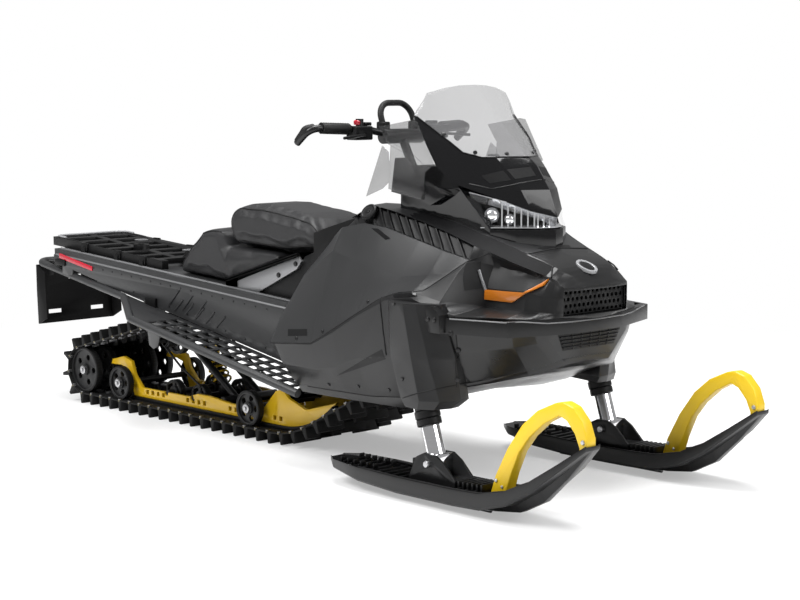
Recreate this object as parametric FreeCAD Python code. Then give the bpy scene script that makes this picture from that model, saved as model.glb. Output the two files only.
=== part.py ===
import FreeCAD, Part
import math
import os

V = FreeCAD.Vector

# A utility snowmobile on one long drive track and two steered skis.
# X points forward, Y to the left and Z up. The origin is on the ground under the middle.

# Driving dimensions in millimetres
overall_length = 3180.0
overall_height = 1270.0
body_width = 800.0
ski_stance = 820.0

# General clearances
seat_gap = 0.3
panel_wall = 4.0
overrun = 60.0

# Drive track
track_width = 406.0
track_pitch_target = 64.0
belt_thickness = 6.0
lug_height = 38.0
lug_base = 22.0
lug_tip = 12.0
lug_band_width = 62.0
rear_idler_diameter = 180.0
upper_guide_diameter = 120.0
bogie_diameter = 128.0
drive_sprocket_diameter = 164.0
rail_nose_radius = 420.0

# Slide rails and wheels
rail_spacing = 270.0
rail_thickness = 14.0
rail_depth = 70.0
rail_hole = 17.0
rail_hole_pitch = 34.0
shoe_thickness = 14.0
shoe_width = 30.0
wheel_width = 26.0
wheel_dish = 9.0
wheel_rim_wall = 11.0
wheel_hub_diameter = 46.0
axle_diameter = 22.0
wheel_track = 350.0
inner_wheel_track = 190.0

# Suspension arms and springs
arm_tube = 28.0
cross_tube = 36.0
shock_body_diameter = 42.0
shock_rod_diameter = 16.0
shock_coil_diameter = 66.0
shock_wire = 9.0
shock_coils = 6

# Tunnel and running boards
tunnel_width = 430.0
tunnel_wall = 4.0
board_thickness = 6.0
board_outer_width = 385.0
board_hole_length = 46.0
board_hole_width = 34.0
board_hole_pitch = 62.0
board_rib = 10.0
bumper_tube = 28.0
bumper_bend = 60.0
rear_bumper_width = 360.0

# Flap, lamp, rack and hitch
flap_width = 372.0
flap_thickness = 5.0
flap_wing = 60.0
flap_slot_length = 62.0
flap_slot_height = 16.0
tail_lamp_width = 150.0
tail_lamp_height = 34.0
tail_lamp_depth = 26.0
rack_width = 350.0
rack_height = 34.0
rack_slat = 26.0
rack_rail = 30.0
rack_anchor_diameter = 64.0
rack_anchor_bore = 24.0
hitch_plate = 8.0
hitch_width = 70.0
hitch_bore = 19.0

# Seat and console
seat_width = 340.0
seat_upper_width = 300.0
brace_thickness = 12.0
console_width = 340.0

# Hood and panels
front_bumper_height = 48.0
front_bumper_depth = 26.0
grille_bar = 7.0
grille_depth = 12.0
engine_length = 340.0
engine_width = 400.0
engine_height = 330.0

# Front struts
strut_tube_diameter = 72.0
strut_rod_diameter = 58.0
strut_rake_share = 0.33
strut_entry = 40.0

# Skis
ski_width = 188.0
ski_length = 1074.0
ski_plate = 12.0
ski_keel_width = 60.0
ski_runner_diameter = 13.0
loop_width = 40.0
saddle_width = 86.0
saddle_wall = 8.0
spindle_bolt = 20.0

# Steering
steer_tube = 24.0
handlebar_width = 780.0
grip_diameter = 36.0
grip_length = 113.0
riser_clamp = 50.0
riser_reach = 88.0
post_diameter = 30.0
strap_tube = 21.0
windshield_wall = 5.0

# Derived sizes
half_length = overall_length / 2
half_body = body_width / 2
half_tunnel = tunnel_width / 2
half_stance = ski_stance / 2
half_track = track_width / 2
strut_tube_bore = strut_rod_diameter + 2 * seat_gap
belt_inner_z = lug_height + belt_thickness
rail_bottom_z = belt_inner_z + shoe_thickness + 2 * seat_gap


def fore(share):
    """Forward place from a share of half the length."""
    return share * half_length


def up(share):
    """Height from a share of the overall height."""
    return share * overall_height


def side(share):
    """Sideways place from a share of half the body width."""
    return share * half_body


def side_view(shares):
    """Outline points (x, z) from a table of shares."""
    return [(fore(a), up(b)) for a, b in shares]


def closed_wire(points):
    """Closed wire through the given vectors."""
    return Part.makePolygon(points + [points[0]])


def prism_y(points, y0, y1):
    """Solid with an (x, z) outline between two sideways places."""
    face = Part.Face(closed_wire([V(x, y0, z) for x, z in points]))
    return face.extrude(V(0, y1 - y0, 0))


def prism_z(points, z0, z1):
    """Solid with an (x, y) outline between two heights."""
    face = Part.Face(closed_wire([V(x, y, z0) for x, y in points]))
    return face.extrude(V(0, 0, z1 - z0))


def loft_x(sections):
    """Faceted solid through (x, [(y, z), ...]) sections with as many corners each."""
    wires = [closed_wire([V(x, y, z) for y, z in ring]) for x, ring in sections]
    return Part.makeLoft(wires, True, True)


def rod_y(x, z, diameter, y0, y1):
    """Round bar across the machine."""
    return Part.makeCylinder(diameter / 2, y1 - y0, V(x, y0, z), V(0, 1, 0))


def rod(start, end, diameter):
    """Round bar between two points."""
    way = end - start
    return Part.makeCylinder(diameter / 2, way.Length, start, way)


def rounded_path(points, radius):
    """Wire of straight runs joined by tangent arcs."""
    edges = []
    last = points[0]
    for before, corner, after in zip(points, points[1:], points[2:]):
        a = (before - corner).normalize()
        b = (after - corner).normalize()
        half = a.getAngle(b) / 2
        reach = radius / math.tan(half)
        start = corner + a * reach
        end = corner + b * reach
        middle_way = (a + b).normalize()
        middle = corner + middle_way * (radius / math.sin(half) - radius)
        edges.append(Part.LineSegment(last, start).toShape())
        edges.append(Part.Arc(start, middle, end).toShape())
        last = end
    edges.append(Part.LineSegment(last, points[-1]).toShape())
    return Part.Wire(edges)


def tube(points, diameter, radius):
    """Round bar that follows a rounded path."""
    path = rounded_path(points, radius)
    ring = Part.makeCircle(diameter / 2, points[0], points[1] - points[0])
    return path.makePipeShell([Part.Wire(ring)], True, False)


def mirrored(shape):
    """The same piece on the other side of the machine."""
    return shape.mirror(V(0, 0, 0), V(0, 1, 0))


def both_sides(shape):
    """A piece and its mirror image in one node."""
    return Part.makeCompound([shape, mirrored(shape)])


def fuse_all(shapes):
    """One solid from pieces that meet."""
    return shapes[0].multiFuse(shapes[1:]).removeSplitter()


def save(name, shape):
    """Write one node."""
    shape.exportStep("parts/" + name + ".step")


os.makedirs("parts", exist_ok=True)


# Drive track

rear_idler_x_share = -0.7811
upper_guide_share = [(-0.4642, 0.2378)]
drive_axle_share = [(0.256, 0.2598)]
rail_nose_x_share = -0.0447

rear_idler_place = (fore(rear_idler_x_share), belt_inner_z + rear_idler_diameter / 2 + seat_gap)
upper_guide_place = side_view(upper_guide_share)[0]
drive_axle_place = side_view(drive_axle_share)[0]


def belt_circles(grow):
    """Circles (x, z, radius) that the belt passes, grown outward."""
    nose_z = belt_inner_z + rail_nose_radius
    return [
        (*rear_idler_place, rear_idler_diameter / 2 + seat_gap + grow),
        (fore(rail_nose_x_share), nose_z, rail_nose_radius + grow),
        (*drive_axle_place, drive_sprocket_diameter / 2 + seat_gap + grow),
        (*upper_guide_place, upper_guide_diameter / 2 + seat_gap + grow),
    ]


def belt_runs(circles):
    """Straight runs of a belt round the circles, as (start, end, heading)."""
    runs = []
    for (ax, az, ar), (bx, bz, br) in zip(circles, circles[1:] + circles[:1]):
        distance = math.hypot(bx - ax, bz - az)
        heading = math.atan2(bz - az, bx - ax) + math.asin((ar - br) / distance)
        out = (math.sin(heading), -math.cos(heading))
        start = (ax + ar * out[0], az + ar * out[1])
        end = (bx + br * out[0], bz + br * out[1])
        runs.append((start, end, heading))
    return runs


def belt_edges(circles):
    """Closed wire of runs and arcs round the circles."""
    runs = belt_runs(circles)
    edges = []
    for (start, end, heading), circle, after in zip(runs, circles[1:] + circles[:1], runs[1:] + runs[:1]):
        turn = (after[2] - heading) % (2 * math.pi)
        middle = heading + turn / 2
        x, z, radius = circle
        top = V(x + radius * math.sin(middle), 0, z - radius * math.cos(middle))
        edges.append(Part.LineSegment(V(start[0], 0, start[1]), V(end[0], 0, end[1])).toShape())
        edges.append(Part.Arc(V(end[0], 0, end[1]), top, V(after[0][0], 0, after[0][1])).toShape())
    return Part.Wire(edges)


def belt_stations(circles, count):
    """Evenly spaced (x, z, heading) places along the belt, and their spacing."""
    runs = belt_runs(circles)
    pieces = []
    for (start, end, heading), circle, after in zip(runs, circles[1:] + circles[:1], runs[1:] + runs[:1]):
        turn = (after[2] - heading) % (2 * math.pi)
        pieces.append((math.dist(start, end), start, heading, None))
        pieces.append((turn * circle[2], end, heading, circle))
    total = sum(piece[0] for piece in pieces)
    spacing = total / count
    places = []
    for number in range(count):
        rest = number * spacing
        for length, start, heading, circle in pieces:
            if rest < length:
                break
            rest = rest - length
        if circle is None:
            place = (start[0] + rest * math.cos(heading), start[1] + rest * math.sin(heading), heading)
        else:
            now = heading + rest / circle[2]
            place = (circle[0] + circle[2] * math.sin(now), circle[1] - circle[2] * math.cos(now), now)
        places.append(place)
    return places, spacing


def belt_slice(stations, outer_circles, has_lug, y0, y1):
    """One strip of the track with lugs on the chosen pitches."""
    outline = []
    for number, (x, z, heading) in enumerate(stations):
        along = (math.cos(heading), math.sin(heading))
        out = (math.sin(heading), -math.cos(heading))
        tall = lug_height if has_lug(number) else 0
        corners = [(-lug_base / 2, 0), (-lug_tip / 2, tall), (lug_tip / 2, tall), (lug_base / 2, 0)]
        if tall == 0:
            corners = [(-lug_base / 2, 0), (lug_base / 2, 0)]
        for step, rise in corners:
            px = x + step * along[0] + rise * out[0]
            pz = z + step * along[1] + rise * out[1]
            outline.append((px, pz))
    body = prism_y(outline, y0, y1)
    hole = Part.Face(belt_edges(outer_circles)).extrude(V(0, y1 - y0 + 2 * overrun, 0))
    hole.translate(V(0, y0 - overrun, 0))
    return body.cut(hole)


def make_track():
    """Belt loop with rows of lugs, each strip across it carrying its own rows."""
    loop_length = sum_length(belt_circles(0))
    count = round(loop_length / track_pitch_target)
    count = count - count % 2 + 1
    stations = belt_stations(belt_circles(belt_thickness), count)[0]
    inner = belt_circles(0)
    edge = half_track - lug_band_width
    strips = [
        belt_slice(stations, inner, lambda n: True, -half_track, -edge),
        belt_slice(stations, inner, lambda n: n % 2 == 0, -edge, -edge + lug_band_width),
        belt_slice(stations, inner, lambda n: n % 2 == 1, -edge + lug_band_width, edge - lug_band_width),
        belt_slice(stations, inner, lambda n: n % 2 == 0, edge - lug_band_width, edge),
        belt_slice(stations, inner, lambda n: True, edge, half_track),
    ]
    return fuse_all(strips)


def sum_length(circles):
    """Length of the belt round the circles."""
    return belt_edges(circles).Length


save("track", make_track())


# Slide rails and their wear shoes

rail_outline_shares = [
    (0.1302, 1.62), (0.0327, 1.02), (-0.0252, 1.4486), (-0.0472, 1.8914), (-0.0692, 1.7057),
    (-0.1088, 0.7629), (-0.1698, 0.5914), (-0.2333, 0.5914), (-0.3145, 0.7629), (-0.356, 0.7629),
    (-0.3906, 0.52), (-0.5767, 0.5057), (-0.6069, 1.1629), (-0.6195, 1.8914), (-0.6516, 2.0914),
    (-0.6981, 1.8343), (-0.7031, 1.5629), (-0.6604, 1.5914), (-0.6352, 1.4486), (-0.6195, 0.8771)]
rail_rear_bottom_x_share = -0.6088
rail_nose_end_share = 0.1352
rail_holes_first_x_share = -0.5597
rail_hole_groups = 4
rail_holes_each = 4
rail_group_pitch = 255.0
rail_hole_rise = 14.0


bogie_x_shares = [-0.6321, -0.1352]
inner_bogie_x_shares = [-0.478, -0.3774]
inner_bogie_diameter = 96.0


def wheel_height(diameter):
    """Height of a wheel that rolls on the flat bottom run of the belt."""
    return belt_inner_z + diameter / 2 + seat_gap


def nose_arc_point(radius, x):
    """Height on the arc of the rail's front end."""
    centre_x = fore(rail_nose_x_share)
    centre_z = belt_inner_z + rail_nose_radius
    return centre_z - math.sqrt(radius * radius - (x - centre_x) ** 2)


def rail_band(points_top, bottom_radius, rear_x, front_x, y0, y1):
    """Plate between a top outline and the rail's curved underside."""
    centre_x = fore(rail_nose_x_share)
    flat_z = nose_arc_point(bottom_radius, centre_x)
    front_z = nose_arc_point(bottom_radius, front_x)
    middle_x = (centre_x + front_x) / 2
    corners = [V(x, y0, z) for x, z in points_top]
    edges = [Part.makePolygon(corners)]
    rear = V(rear_x, y0, flat_z)
    under = V(centre_x, y0, flat_z)
    front = V(front_x, y0, front_z)
    edges.append(Part.LineSegment(corners[-1], rear).toShape())
    edges.append(Part.LineSegment(rear, under).toShape())
    edges.append(Part.Arc(under, V(middle_x, y0, nose_arc_point(bottom_radius, middle_x)), front).toShape())
    edges.append(Part.LineSegment(front, corners[0]).toShape())
    loose = []
    for edge in edges:
        loose = loose + edge.Edges
    face = Part.Face(Part.Wire(Part.__sortEdges__(loose)))
    return face.extrude(V(0, y1 - y0, 0))


rail_front_x = fore(rail_nose_end_share)
rail_rear_x = fore(rail_rear_bottom_x_share)
rail_bottom_radius = rail_nose_radius - shoe_thickness - 2 * seat_gap
shoe_bottom_radius = rail_nose_radius - seat_gap
rail_side = rail_spacing / 2


def make_rail():
    """One slide rail with rows of square holes and raised ears."""
    top = [(fore(a), rail_bottom_z + b * rail_depth) for a, b in rail_outline_shares]
    plate = rail_band(top, rail_bottom_radius, rail_rear_x, rail_front_x,
                      rail_side - rail_thickness / 2, rail_side + rail_thickness / 2)
    cuts = []
    for group in range(rail_hole_groups):
        for number in range(rail_holes_each):
            x = fore(rail_holes_first_x_share) + group * rail_group_pitch + number * rail_hole_pitch
            z = rail_bottom_z + rail_hole_rise
            if x < fore(rail_nose_x_share):
                cuts.append(Part.makeBox(rail_hole, rail_spacing, rail_hole, V(x, 0, z)))
    bore = axle_diameter + 2 * seat_gap
    for share in bogie_x_shares:
        cuts.append(rod_y(fore(share), wheel_height(bogie_diameter), bore, 0, rail_spacing))
    for share in inner_bogie_x_shares:
        cuts.append(rod_y(fore(share), wheel_height(inner_bogie_diameter), bore, 0, rail_spacing))
    return plate.cut(cuts)


def make_shoe():
    """One plastic wear shoe under a rail."""
    centre_x = fore(rail_nose_x_share)
    radius = shoe_bottom_radius - shoe_thickness
    top_z = nose_arc_point(radius, centre_x)
    end_x = rail_front_x - shoe_thickness
    middle_x = (centre_x + end_x) / 2
    y0 = rail_side - shoe_width / 2
    rear = V(rail_rear_x, y0, top_z)
    under = V(centre_x, y0, top_z)
    middle = V(middle_x, y0, nose_arc_point(radius, middle_x))
    front = V(end_x, y0, nose_arc_point(radius, end_x))
    low_front = V(end_x, y0, nose_arc_point(shoe_bottom_radius, end_x))
    low_middle = V(middle_x, y0, nose_arc_point(shoe_bottom_radius, middle_x))
    low_under = V(centre_x, y0, nose_arc_point(shoe_bottom_radius, centre_x))
    low_rear = V(rail_rear_x, y0, nose_arc_point(shoe_bottom_radius, centre_x))
    edges = [
        Part.LineSegment(rear, under).toShape(),
        Part.Arc(under, middle, front).toShape(),
        Part.LineSegment(front, low_front).toShape(),
        Part.Arc(low_front, low_middle, low_under).toShape(),
        Part.LineSegment(low_under, low_rear).toShape(),
        Part.LineSegment(low_rear, rear).toShape(),
    ]
    return Part.Face(Part.Wire(edges)).extrude(V(0, shoe_width, 0))


save("slide_rails", both_sides(make_rail()))
save("slide_shoes", both_sides(make_shoe()))


# Wheels inside the track

wheel_spokes = 5
wheel_hole_diameter = 26.0
hole_corners = 6


def regular(x, z, diameter, corners):
    """Corners (x, z) of a regular polygon round a place."""
    step = 2 * math.pi / corners
    reach = diameter / 2
    return [(x + reach * math.cos(step * n), z + reach * math.sin(step * n)) for n in range(corners)]


def wheel(x, z, diameter, y_middle):
    """Dished idler wheel with a hub, a rim and a ring of lightening holes."""
    half = wheel_width / 2
    disc = rod_y(x, z, diameter, y_middle - half, y_middle + half)
    hollow = diameter - 2 * wheel_rim_wall
    hub = rod_y(x, z, wheel_hub_diameter, y_middle - half, y_middle + half)
    for low, high in ((y_middle - half - overrun, y_middle - half + wheel_dish),
                      (y_middle + half - wheel_dish, y_middle + half + overrun)):
        disc = disc.cut(rod_y(x, z, hollow, low, high))
    ring = (hollow + wheel_hub_diameter) / 4
    holes = []
    for number in range(wheel_spokes):
        angle = 2 * math.pi * number / wheel_spokes
        hx = x + ring * math.cos(angle)
        hz = z + ring * math.sin(angle)
        ring_hole = regular(hx, hz, wheel_hole_diameter, hole_corners)
        holes.append(prism_y(ring_hole, y_middle - overrun, y_middle + overrun))
    return disc.cut(holes).fuse(hub)


def wheel_pair(x, z, diameter, spacing, shaft_half):
    """Two wheels on one shaft across the machine."""
    shaft = rod_y(x, z, axle_diameter, -shaft_half, shaft_half)
    left = wheel(x, z, diameter, spacing / 2)
    return fuse_all([shaft, left, mirrored(left)])


outer_reach = wheel_track / 2 + wheel_width / 2 + wheel_dish
rear_wheels = wheel_pair(*rear_idler_place, rear_idler_diameter, wheel_track, outer_reach)
rear_inner = wheel(*rear_idler_place, rear_idler_diameter, inner_wheel_track / 2)
save("rear_idlers", fuse_all([rear_wheels, rear_inner, mirrored(rear_inner)]))

wheel_sets = [wheel_pair(*upper_guide_place, upper_guide_diameter, inner_wheel_track, outer_reach)]
for share in bogie_x_shares:
    z = wheel_height(bogie_diameter)
    wheel_sets.append(wheel_pair(fore(share), z, bogie_diameter, wheel_track, outer_reach))
for share in inner_bogie_x_shares:
    z = wheel_height(inner_bogie_diameter)
    wheel_sets.append(wheel_pair(fore(share), z, inner_bogie_diameter, inner_wheel_track, rail_side))


# Suspension arms, shocks and drive axle

rear_arm_foot_share = [(-0.2704, 0.0772)]
front_arm_foot_share = [(-0.0553, 0.126)]
front_arm_top_share = [(0.0943, 0.2504)]
arm_spacing = 116.0
sprocket_spacing = 130.0
sprocket_width = 22.0
sprocket_teeth = 8
sprocket_root_share = 0.78
full_turn = 360
rail_inner_y = rail_side - rail_thickness / 2
tunnel_inner_y = half_tunnel - tunnel_wall


def place_y(shares, y):
    """Vector at one side-view place and a sideways place."""
    x, z = side_view(shares)[0]
    return V(x, y, z)


def cross_bar(shares, diameter, reach):
    """Bar across the machine at one side-view place."""
    x, z = side_view(shares)[0]
    return rod_y(x, z, diameter, -reach, reach)


def swing_arm(top, foot, top_reach, top_bore):
    """Two arm tubes between a foot bar and a top bar."""
    pieces = [cross_bar(foot, cross_tube, rail_inner_y), cross_bar(top, cross_tube, top_reach)]
    for y in (-arm_spacing / 2, arm_spacing / 2):
        pieces.append(rod(place_y(foot, y), place_y(top, y), arm_tube))
    bore = cross_bar(top, top_bore, half_tunnel)
    return fuse_all([piece.cut(bore) for piece in pieces])


def shock(low, high):
    """Shock absorber with its spring sleeve and two eyes."""
    way = (high - low).normalize()
    middle = low + (high - low) / 2
    pieces = [
        rod(low, high, shock_rod_diameter),
        rod(low + way * shock_body_diameter / 2, middle, shock_body_diameter),
        rod_y(low.x, low.z, shock_body_diameter, low.y - shock_rod_diameter, low.y + shock_rod_diameter),
        rod_y(high.x, high.z, shock_body_diameter, high.y - shock_rod_diameter, high.y + shock_rod_diameter),
    ]
    start = low + way * shock_coil_diameter / 2
    room = (high - low).Length - shock_coil_diameter
    core = shock_body_diameter / 2 - shock_wire / 2
    rim = shock_coil_diameter / 2
    across = way.cross(V(0, 1, 0))
    outline = [start]
    for number in range(2 * shock_coils + 1):
        reach = core if number % 2 == 0 else rim
        outline.append(start + way * (room * number / (2 * shock_coils)) + across * reach)
    outline.append(start + way * room)
    spring = Part.Face(closed_wire(outline)).revolve(start, way, full_turn)
    pieces.append(spring)
    return pieces


def make_sprocket(y_middle):
    """Toothed drive wheel whose teeth reach the belt."""
    x, z = drive_axle_place
    radius = drive_sprocket_diameter / 2
    points = []
    step = 2 * math.pi / sprocket_teeth
    for tooth in range(sprocket_teeth):
        for turn, reach in ((0, 1), (0.25, 1), (0.45, sprocket_root_share), (0.8, sprocket_root_share)):
            angle = (tooth + turn) * step
            points.append((x + radius * reach * math.cos(angle), z + radius * reach * math.sin(angle)))
    return prism_y(points, y_middle - sprocket_width / 2, y_middle + sprocket_width / 2)


rear_sleeve_reach = inner_wheel_track / 2 - wheel_width / 2 - seat_gap
rear_sleeve_bore = axle_diameter + 2 * seat_gap
rear_arm = swing_arm(upper_guide_share, rear_arm_foot_share, rear_sleeve_reach, rear_sleeve_bore)
front_arm = swing_arm(front_arm_top_share, front_arm_foot_share, tunnel_inner_y - seat_gap, axle_diameter)


# Tunnel, running boards and rear end

tunnel_side_shares = [
    (-0.8805, 0.4858), (-0.8805, 0.4409), (-0.5686, 0.3685), (0.1887, 0.2024), (0.3447, 0.1969),
    (0.3447, 0.3835)]
tunnel_ear_shares = [
    (-0.5031, 0.3622), (-0.4811, 0.2244), (-0.4642, 0.2142), (-0.4472, 0.2244), (-0.4151, 0.3465)]
front_ear_shares = [
    (0.0566, 0.2441), (0.0786, 0.2323), (0.0943, 0.2244), (0.1101, 0.2299), (0.1384, 0.2362),
    (0.1384, 0.2598), (0.0566, 0.2598)]
tunnel_rib_x_shares = [-0.4025, -0.3522, -0.3019]
tunnel_rib = 12.0
tunnel_rib_rise = 4.0
tunnel_rib_share = [(0.0377, 0.0472)]
board_front_share = [(0.1535, 0.2094)]
board_rear_share = [(-0.5686, 0.3677)]
board_corner_x_share = -0.3899


def tunnel_line(x, offset):
    """Height of the tunnel's top face above a forward place."""
    (ax, az), (bx, bz) = (side_view(tunnel_side_shares)[0], side_view(tunnel_side_shares)[-1])
    return az + (bz - az) * (x - ax) / (bx - ax) + offset


def board_line(x):
    """Height of the running boards at a forward place."""
    (ax, az), (bx, bz) = side_view(board_rear_share)[0], side_view(board_front_share)[0]
    return az + (bz - az) * (x - ax) / (bx - ax)


bumper_rear_share = [(-0.9912, 0.4307)]
bumper_bend_share = [(-0.5686, 0.3614)]
bumper_out_share = [(-0.395, 0.326)]
bumper_front_share = [(0.195, 0.1969)]
bumper_bracket_x_shares = [-0.8428, -0.6918]
bumper_bracket_length = 70.0


def bumper_line(x):
    """Height of the bumper tube's straight rear run at a forward place."""
    (ax, az), (bx, bz) = side_view(bumper_rear_share)[0], side_view(bumper_bend_share)[0]
    return az + (bz - az) * (x - ax) / (bx - ax)


def make_tunnel():
    """Folded sheet tunnel with drop ears, pressed ribs and brackets for the bumper tube."""
    outline = side_view(tunnel_side_shares)
    outer = prism_y(outline, -half_tunnel, half_tunnel)
    slope = math.atan2(outline[-1][1] - outline[0][1], outline[-1][0] - outline[0][0])
    drop = tunnel_wall / math.cos(slope)
    low = -overrun
    inner_points = [
        (outline[0][0] - overrun, tunnel_line(outline[0][0] - overrun, -drop)),
        (outline[0][0] - overrun, low),
        (outline[-1][0] - tunnel_wall, low),
        (outline[-1][0] - tunnel_wall, tunnel_line(outline[-1][0] - tunnel_wall, -drop)),
    ]
    inner = prism_y(inner_points, -tunnel_inner_y, tunnel_inner_y)
    sheet = outer.cut(inner)
    pieces = [sheet]
    for shares in (tunnel_ear_shares, front_ear_shares):
        ear = prism_y(side_view(shares), tunnel_inner_y, half_tunnel)
        pieces = pieces + [ear, mirrored(ear)]
    for share in tunnel_rib_x_shares:
        x = fore(share)
        z = board_line(x) + up(tunnel_rib_share[0][1]) / 2
        dx = fore(tunnel_rib_share[0][0])
        dz = up(tunnel_rib_share[0][1])
        points = [(x, z), (x + tunnel_rib, z), (x + dx + tunnel_rib, z + dz), (x + dx, z + dz)]
        rib = prism_y(points, half_tunnel, half_tunnel + tunnel_rib_rise)
        pieces = pieces + [rib, mirrored(rib)]
    for share in bumper_bracket_x_shares:
        x = fore(share)
        end = x + bumper_bracket_length
        points = [
            (x, tunnel_line(x, -tunnel_wall)), (end, tunnel_line(end, -tunnel_wall)),
            (end, bumper_line(end)), (x, bumper_line(x))]
        bracket = prism_y(points, tunnel_inner_y, half_tunnel)
        pieces = pieces + [bracket, mirrored(bracket)]
    return fuse_all(pieces).cut(bumper_tube_solid(bumper_tube + 2 * seat_gap))


def make_board():
    """Left running board with two rows of grip openings and a turned-up inner flange."""
    rear_x = fore(board_rear_share[0][0])
    front_x = fore(board_front_share[0][0])
    corner_x = fore(board_corner_x_share)
    inner_y = half_tunnel + tunnel_rib_rise + seat_gap
    outer_y = board_outer_width
    outline = [(rear_x, inner_y), (front_x, inner_y), (front_x, outer_y), (corner_x, outer_y)]
    tall = prism_z(outline, 0, overall_height)
    band = [
        (rear_x, board_line(rear_x)), (front_x, board_line(front_x)),
        (front_x, board_line(front_x) - board_thickness), (rear_x, board_line(rear_x) - board_thickness)]
    plate = tall.common(prism_y(band, inner_y - overrun, outer_y + overrun))
    cuts = []
    width = outer_y - inner_y
    rows = [inner_y + width * share for share in board_row_shares]
    count = int((front_x - corner_x - 2 * board_rib) / board_hole_pitch)
    for row in rows:
        for number in range(count):
            x = corner_x + board_hole_pitch + number * board_hole_pitch
            if x + board_hole_length + board_rib < front_x:
                box = Part.makeBox(board_hole_length, board_hole_width, overall_height, V(x, row, 0))
                cuts.append(box)
    return plate.cut(cuts).cut(bumper_tube_solid(bumper_tube + 2 * seat_gap))


board_row_shares = [0.12, 0.42, 0.70]


# Bumper tube round the rear and along the running boards

def bumper_tube_solid(diameter):
    """One bent tube round the tail that becomes the outer edge of both running boards."""
    along_y = half_tunnel + bumper_tube / 2 + seat_gap
    outer_y = board_outer_width + bumper_tube / 2 + seat_gap
    left = [
        place_y(bumper_front_share, outer_y),
        place_y(bumper_out_share, outer_y),
        place_y(bumper_bend_share, along_y),
        place_y(bumper_rear_share, rear_bumper_width / 2),
    ]
    right = [V(point.x, -point.y, point.z) for point in reversed(left)]
    return tube(left + right, diameter, bumper_bend)


save("tunnel", make_tunnel())
save("running_boards", both_sides(make_board()))
save("rear_bumper", bumper_tube_solid(bumper_tube))


# Snow flap, tail lamp, hitch and luggage rack

flap_shares = [(-0.9899, 0.4193), (-0.9887, 0.3386), (-0.9836, 0.2268)]
flap_wing_drop_share = 0.0205


def make_flap():
    """Hanging flap with forward wings and three slots."""
    top, bend, low = side_view(flap_shares)
    line = [top, bend, low]
    back = [(x - flap_thickness, z) for x, z in reversed(line)]
    sheet = prism_y(line + back, -flap_width / 2, flap_width / 2)
    wing_line = [top, bend, low, (low[0] + flap_wing, low[1] + flap_wing / 2),
                 (top[0] + flap_wing, top[1] - up(flap_wing_drop_share))]
    wing = prism_y(wing_line, flap_width / 2 - flap_thickness, flap_width / 2)
    cuts = []
    for share_y, share_z in flap_slot_shares:
        y = share_y * flap_width - flap_slot_length / 2
        z = low[1] + share_z * (top[1] - low[1])
        box = Part.makeBox(2 * overrun, flap_slot_length, flap_slot_height, V(low[0] - overrun, y, z))
        cuts.append(box)
    return fuse_all([sheet, wing, mirrored(wing)]).cut(cuts)


flap_slot_shares = [(-0.28, 0.16), (0.28, 0.16), (0, 0.72)]
save("snow_flap", make_flap())

rack_bar_x_shares = [-0.8931, -0.8365, -0.7799, -0.7233, -0.6667, -0.6101, -0.5535, -0.4969]
rack_post_height = 22.0
rack_start_x_share = -0.9195
rack_end_x_share = -0.4591
anchor_x_shares = [-0.6918, -0.4969]


def sloped_bar(x0, x1, y0, y1, rise, thickness):
    """Bar that lies along the tunnel's slope, from one rise above its top face."""
    points = [
        (x0, tunnel_line(x0, rise)), (x1, tunnel_line(x1, rise)),
        (x1, tunnel_line(x1, rise + thickness)), (x0, tunnel_line(x0, rise + thickness))]
    return prism_y(points, y0, y1)


def make_rack():
    """Slatted deck on the tunnel with side rails, a raised rear frame and anchor seats."""
    start = fore(rack_start_x_share)
    end = fore(rack_end_x_share)
    half = rack_width / 2
    pieces = []
    for y in (-half, -rack_rail / 2, half - rack_rail):
        pieces.append(sloped_bar(start, end, y, y + rack_rail, 0, rack_height))
    for share in rack_bar_x_shares:
        x = fore(share)
        pieces.append(sloped_bar(x, x + rack_slat, -half, half, rack_height / 2, rack_height / 2))
    return fuse_all(pieces)


def anchor_cup(x):
    """Round anchor boss on the rack with its bore."""
    z = tunnel_line(x, rack_height)
    boss = Part.makeCylinder(rack_anchor_diameter / 2, rack_post_height, V(x, 0, z))
    lower = Part.makeCylinder(rack_anchor_diameter / 2, rack_height, V(x, 0, z - rack_height / 2))
    bore = Part.makeCylinder(rack_anchor_bore / 2, 2 * overrun, V(x, 0, z - rack_height / 2))
    return boss.fuse(lower), bore


rack = make_rack()
bores = []
for share in anchor_x_shares:
    boss, bore = anchor_cup(fore(share))
    rack = rack.fuse(boss)
    bores.append(bore)
save("cargo_rack", rack.cut(bores).removeSplitter())

tail_lamp_x = fore(rack_start_x_share)
lamp_z = tunnel_line(tail_lamp_x, 0)
lamp = Part.makeBox(tail_lamp_depth, tail_lamp_width, tail_lamp_height,
                    V(tail_lamp_x - tail_lamp_depth, -tail_lamp_width / 2, lamp_z))
lamp_rear_edges = [edge for edge in lamp.Edges if edge.CenterOfMass.x < tail_lamp_x - tail_lamp_depth / 2]
lamp = lamp.makeFillet(tail_lamp_depth / 4, lamp_rear_edges)
strip_shares = [(-0.8535, 0.4543), (-0.8535, 0.4701), (-0.7101, 0.4394), (-0.7101, 0.426)]
strip = prism_y(side_view(strip_shares), half_tunnel + seat_gap, half_tunnel + seat_gap + tunnel_rib_rise)
save("tail_lamp", lamp)
save("tail_strips", both_sides(strip))

hitch_front_x_share = -0.8616
hitch_rear_x_share = -0.9717
hitch_z_share = 0.4409


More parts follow.
